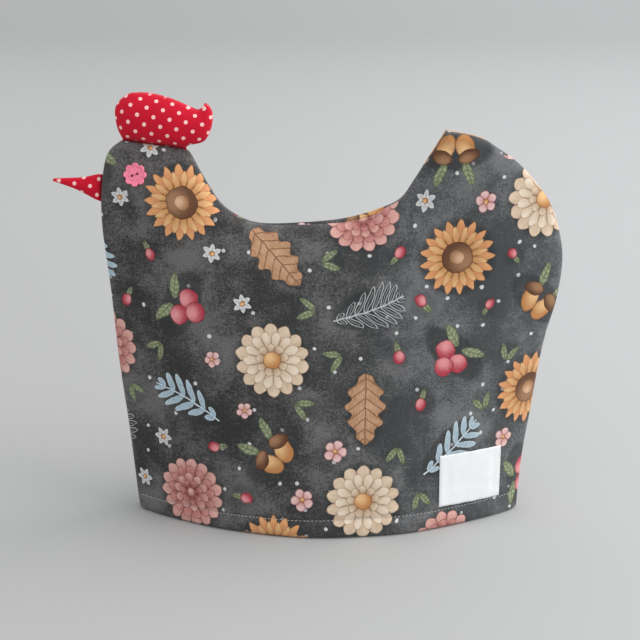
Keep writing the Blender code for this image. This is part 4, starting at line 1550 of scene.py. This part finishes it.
def woven_ribbon(tint):
    recipe = Recipe("label_ribbon")
    place = recipe.cloth_place()
    mottle = recipe.noise(place, size=0.006)
    recipe.surface(recipe.shaded(mottle, tint, dark=0.94), roughness=0.55, Specular_IOR_Level=0.4)
    recipe.woven(place, pitch=0.00028, height=0.00004, strength=0.4)
    return recipe.material


def sewing_thread(name, tint):
    recipe = Recipe(name)
    twist = recipe.noise(recipe.object_place(), size=0.0008)
    recipe.surface(recipe.shaded(twist, tint, dark=0.8), roughness=0.7)
    return recipe.material


def plain_floor(studio):
    """A floor painted lighter on the side of the light, with painted shade far behind."""
    recipe = Recipe("studio_floor")
    x, y, _ = recipe.parts(recipe.object_place())
    lit = recipe.soft(x / (abs(y) * 0.95 + 1), -0.26, 0.30)
    colour = recipe.mix(lit, tuple(studio.floor), tuple(studio.floor_lit))
    # Painted shade: the floor darkens far behind, where less of the light reaches
    colour = recipe.mix(recipe.soft(y, 1.0, 8.0, 0, 0.22), colour, (0, 0, 0))
    recipe.surface(colour, roughness=0.8, Specular_IOR_Level=0.2)
    return recipe.material


# ---------------------------------------------------------------- the operators

def give_materials(obj, *materials):
    for material in materials:
        obj.data.materials.append(material)


class COSY_OT_panels(bpy.types.Operator):
    """Sew the two padded panels of printed cotton with their lining"""
    bl_idname = "cosy.panels"
    bl_label = "Padded Panels"

    def execute(self, context):
        cloth = context.scene.cosy_cloth
        outside, inside = printed_cotton(cloth), lining_cotton(cloth.lining)
        for side, facing, seed in (("front", -1, 11), ("back", 1, 47)):
            panel = sew_panel(f"{side}_cloth", facing, cloth, seed)
            give_materials(panel, outside, inside)
            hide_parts(f"{side}_panel")
            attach(panel, "root")
        return {"FINISHED"}


class COSY_OT_comb_and_beak(bpy.types.Operator):
    """Stuff the polka-dot comb and beak that the head's seam holds"""
    bl_idname = "cosy.comb_and_beak"
    bl_label = "Comb and Beak"

    def execute(self, context):
        dotted = polka_dot_cotton(context.scene.cosy_trim)
        comb = stuff("comb_cloth", (COMB_BASE, COMB_TOP, COMB_FRONT, COMB_REAR), COMB_INTO_SEAM,
                     half=0.0145, radius=0.0155, columns=44, rows=22, seed=5, pressure=5.0, cap=0.0020)
        beak = stuff("beak_cloth", (BEAK_BASE, BEAK_TIP, BEAK_UNDER, BEAK_OVER), BEAK_INTO_SEAM,
                     half=0.0070, radius=0.0095, columns=16, rows=20, seed=9, pressure=3.0, cap=0.0010,
                     cut_at=(0.0054, -0.0005))
        for piece, node, fill in ((comb, "comb", 0.9), (beak, "beak", 0.6)):
            give_materials(piece, dotted)
            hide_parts(node)
            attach(piece, "root")
        return {"FINISHED"}


class COSY_OT_buttons(bpy.types.Operator):
    """Mould the two flower buttons and sew them on as eyes"""
    bl_idname = "cosy.buttons"
    bl_label = "Button Eyes"

    def execute(self, context):
        trim = context.scene.cosy_trim
        plastic = moulded_plastic(trim.button)
        thread = sewing_thread("button_thread", [TIE_DARK * c for c in trim.button])
        pieces = [(mould_button("button_front", trim), loop_thread("button_thread_front", trim))]
        pieces.append([twin(piece, piece.name.replace("front", "back")) for piece in pieces[0]])
        for (button, tie), side, facing in zip(pieces, ("front", "back"), (-1, 1)):
            tree = tree_of(bpy.data.objects[f"{side}_cloth"])
            point, _ = on_surface(tree, BUTTON_SPOT[0] + BUTTON_SHIFT, BUTTON_SPOT[1], facing)
            _, normal = on_surface(tree_of(frame["nodes"][f"{side}_panel"]), *BUTTON_SPOT, facing)
            up = (Vector((0, 0, 1)) - normal * normal.z).normalized()
            basis = Matrix((up.cross(normal), up, normal)).transposed().to_4x4()
            place = Matrix.Translation(point + normal * (trim.button_lift + SHANK_SINK)) @ basis
            for piece, material in ((button, plastic), (tie, thread)):
                place_at(piece, place)
                give_materials(piece, material)
                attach(piece, "root")
            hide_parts(f"button_eye_{side}")
        return {"FINISHED"}


class COSY_OT_label(bpy.types.Operator):
    """Cut the blank woven label and sew it on by its two folded ends"""
    bl_idname = "cosy.label"
    bl_label = "Label"

    def execute(self, context):
        trim = context.scene.cosy_trim
        label, flat, lines = cut_label("label_cloth", tree_of(bpy.data.objects["front_cloth"]), trim)
        give_materials(label, woven_ribbon(trim.label))
        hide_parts("label")
        stitches = sew_along("label_stitches", lines, trim, seed=71, pitch=LABEL_STITCH_PITCH)
        give_materials(stitches, sewing_thread("label_thread", trim.label))
        for piece in (label, stitches):
            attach(piece, "root")
        return {"FINISHED"}


class COSY_OT_topstitching(bpy.types.Operator):
    """Sew the line of white topstitching above the hem, through to the lining"""
    bl_idname = "cosy.topstitching"
    bl_label = "Hem Topstitching"

    def execute(self, context):
        trim = context.scene.cosy_trim
        thread = sewing_thread("topstitch_thread", trim.thread)
        for side, facing, seed in (("front", -1, 23), ("back", 1, 59)):
            lines = []
            for line, out in zip(SEWN[f"{side}_cloth"], (1, -1)):
                line = line[CLEAR_OF_SEAM]
                run = np.gradient(line, axis=0)
                outward = out * facing * np.stack([-run[:, 1], run[:, 0], 0 * run[:, 0]], axis=-1)
                lines.append((line, unit(outward)))
            stitches = sew_along(f"hem_stitches_{side}", lines, trim, seed, trim.stitch_pitch)
            give_materials(stitches, thread)
            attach(stitches, "root")
        return {"FINISHED"}


FLOOR_SIZE, FLOOR_GAP = 80, 0.0002
SKY_TINT, KEY_TINT = (0.95, 0.97, 1.0, 1), (1.0, 0.99, 0.97)
KEY_FROM = (1.1, 0.0, 0.8)  # the side that the main light comes from
SENSOR_WIDTH = 36


class COSY_OT_stage(bpy.types.Operator):
    """Set up the plain floor, the soft light and the camera"""
    bl_idname = "cosy.stage"
    bl_label = "Studio"

    def execute(self, context):
        studio = context.scene.cosy_studio
        floor = add_primitive("plane", "studio_floor", size=FLOOR_SIZE, location=(0, 0, -FLOOR_GAP))
        keep_place_in_mesh()
        give_materials(floor, plain_floor(studio))

        world = bpy.data.worlds.new("studio_sky")
        world.use_nodes = True
        sky = world.node_tree.nodes["Background"]
        sky.inputs["Color"].default_value = SKY_TINT
        sky.inputs["Strength"].default_value = studio.fill
        context.scene.world = world

        select_only()
        bpy.ops.object.light_add(type="SUN", location=KEY_FROM)
        key = context.object
        key.name = "soft_light"
        key.data.energy, key.data.angle = studio.key, studio.key_width
        key.data.color = KEY_TINT
        key.rotation_euler = (-key.location).to_track_quat("-Z", "Y").to_euler()

        select_only()
        bpy.ops.object.camera_add(location=studio.camera_place,
                                  rotation=(math.pi / 2 - studio.camera_tilt, 0, 0))
        camera = context.object
        camera.data.lens, camera.data.sensor_width = studio.lens, SENSOR_WIDTH
        camera.data.clip_start = 0.01
        context.scene.camera = camera
        context.scene.view_settings.view_transform = "Standard"
        return {"FINISHED"}


class COSY_PT_sidebar(bpy.types.Panel):
    bl_idname = "COSY_PT_sidebar"
    bl_label = "Tea Cosy"
    bl_space_type = "VIEW_3D"
    bl_region_type = "UI"
    bl_category = "Tea Cosy"

    def draw(self, context):
        for title, (name, group) in SETTINGS.items():
            box = self.layout.box()
            box.label(text=title)
            for key in group.__annotations__:
                box.prop(getattr(context.scene, name), key)
        for operator in OPERATORS:
            self.layout.operator(operator.bl_idname)


SETTINGS = {"Cloth": ("cosy_cloth", CosyClothSettings), "Trimmings": ("cosy_trim", CosyTrimSettings),
            "Studio": ("cosy_studio", CosyStudioSettings)}
OPERATORS = (COSY_OT_panels, COSY_OT_comb_and_beak, COSY_OT_buttons, COSY_OT_label,
             COSY_OT_topstitching, COSY_OT_stage)
CLASSES = (*(group for _, group in SETTINGS.values()), *OPERATORS, COSY_PT_sidebar)


def register():
    for cls in CLASSES:
        bpy.utils.register_class(cls)
    for name, group in SETTINGS.values():
        setattr(bpy.types.Scene, name, PointerProperty(type=group))


def unregister():
    for name, _ in SETTINGS.values():
        delattr(bpy.types.Scene, name)
    for cls in reversed(CLASSES):
        bpy.utils.unregister_class(cls)


def main():
    register()
    for operator in OPERATORS:
        group, name = operator.bl_idname.split(".")
        getattr(getattr(bpy.ops, group), name)()


if __name__ == "__main__":
    main()
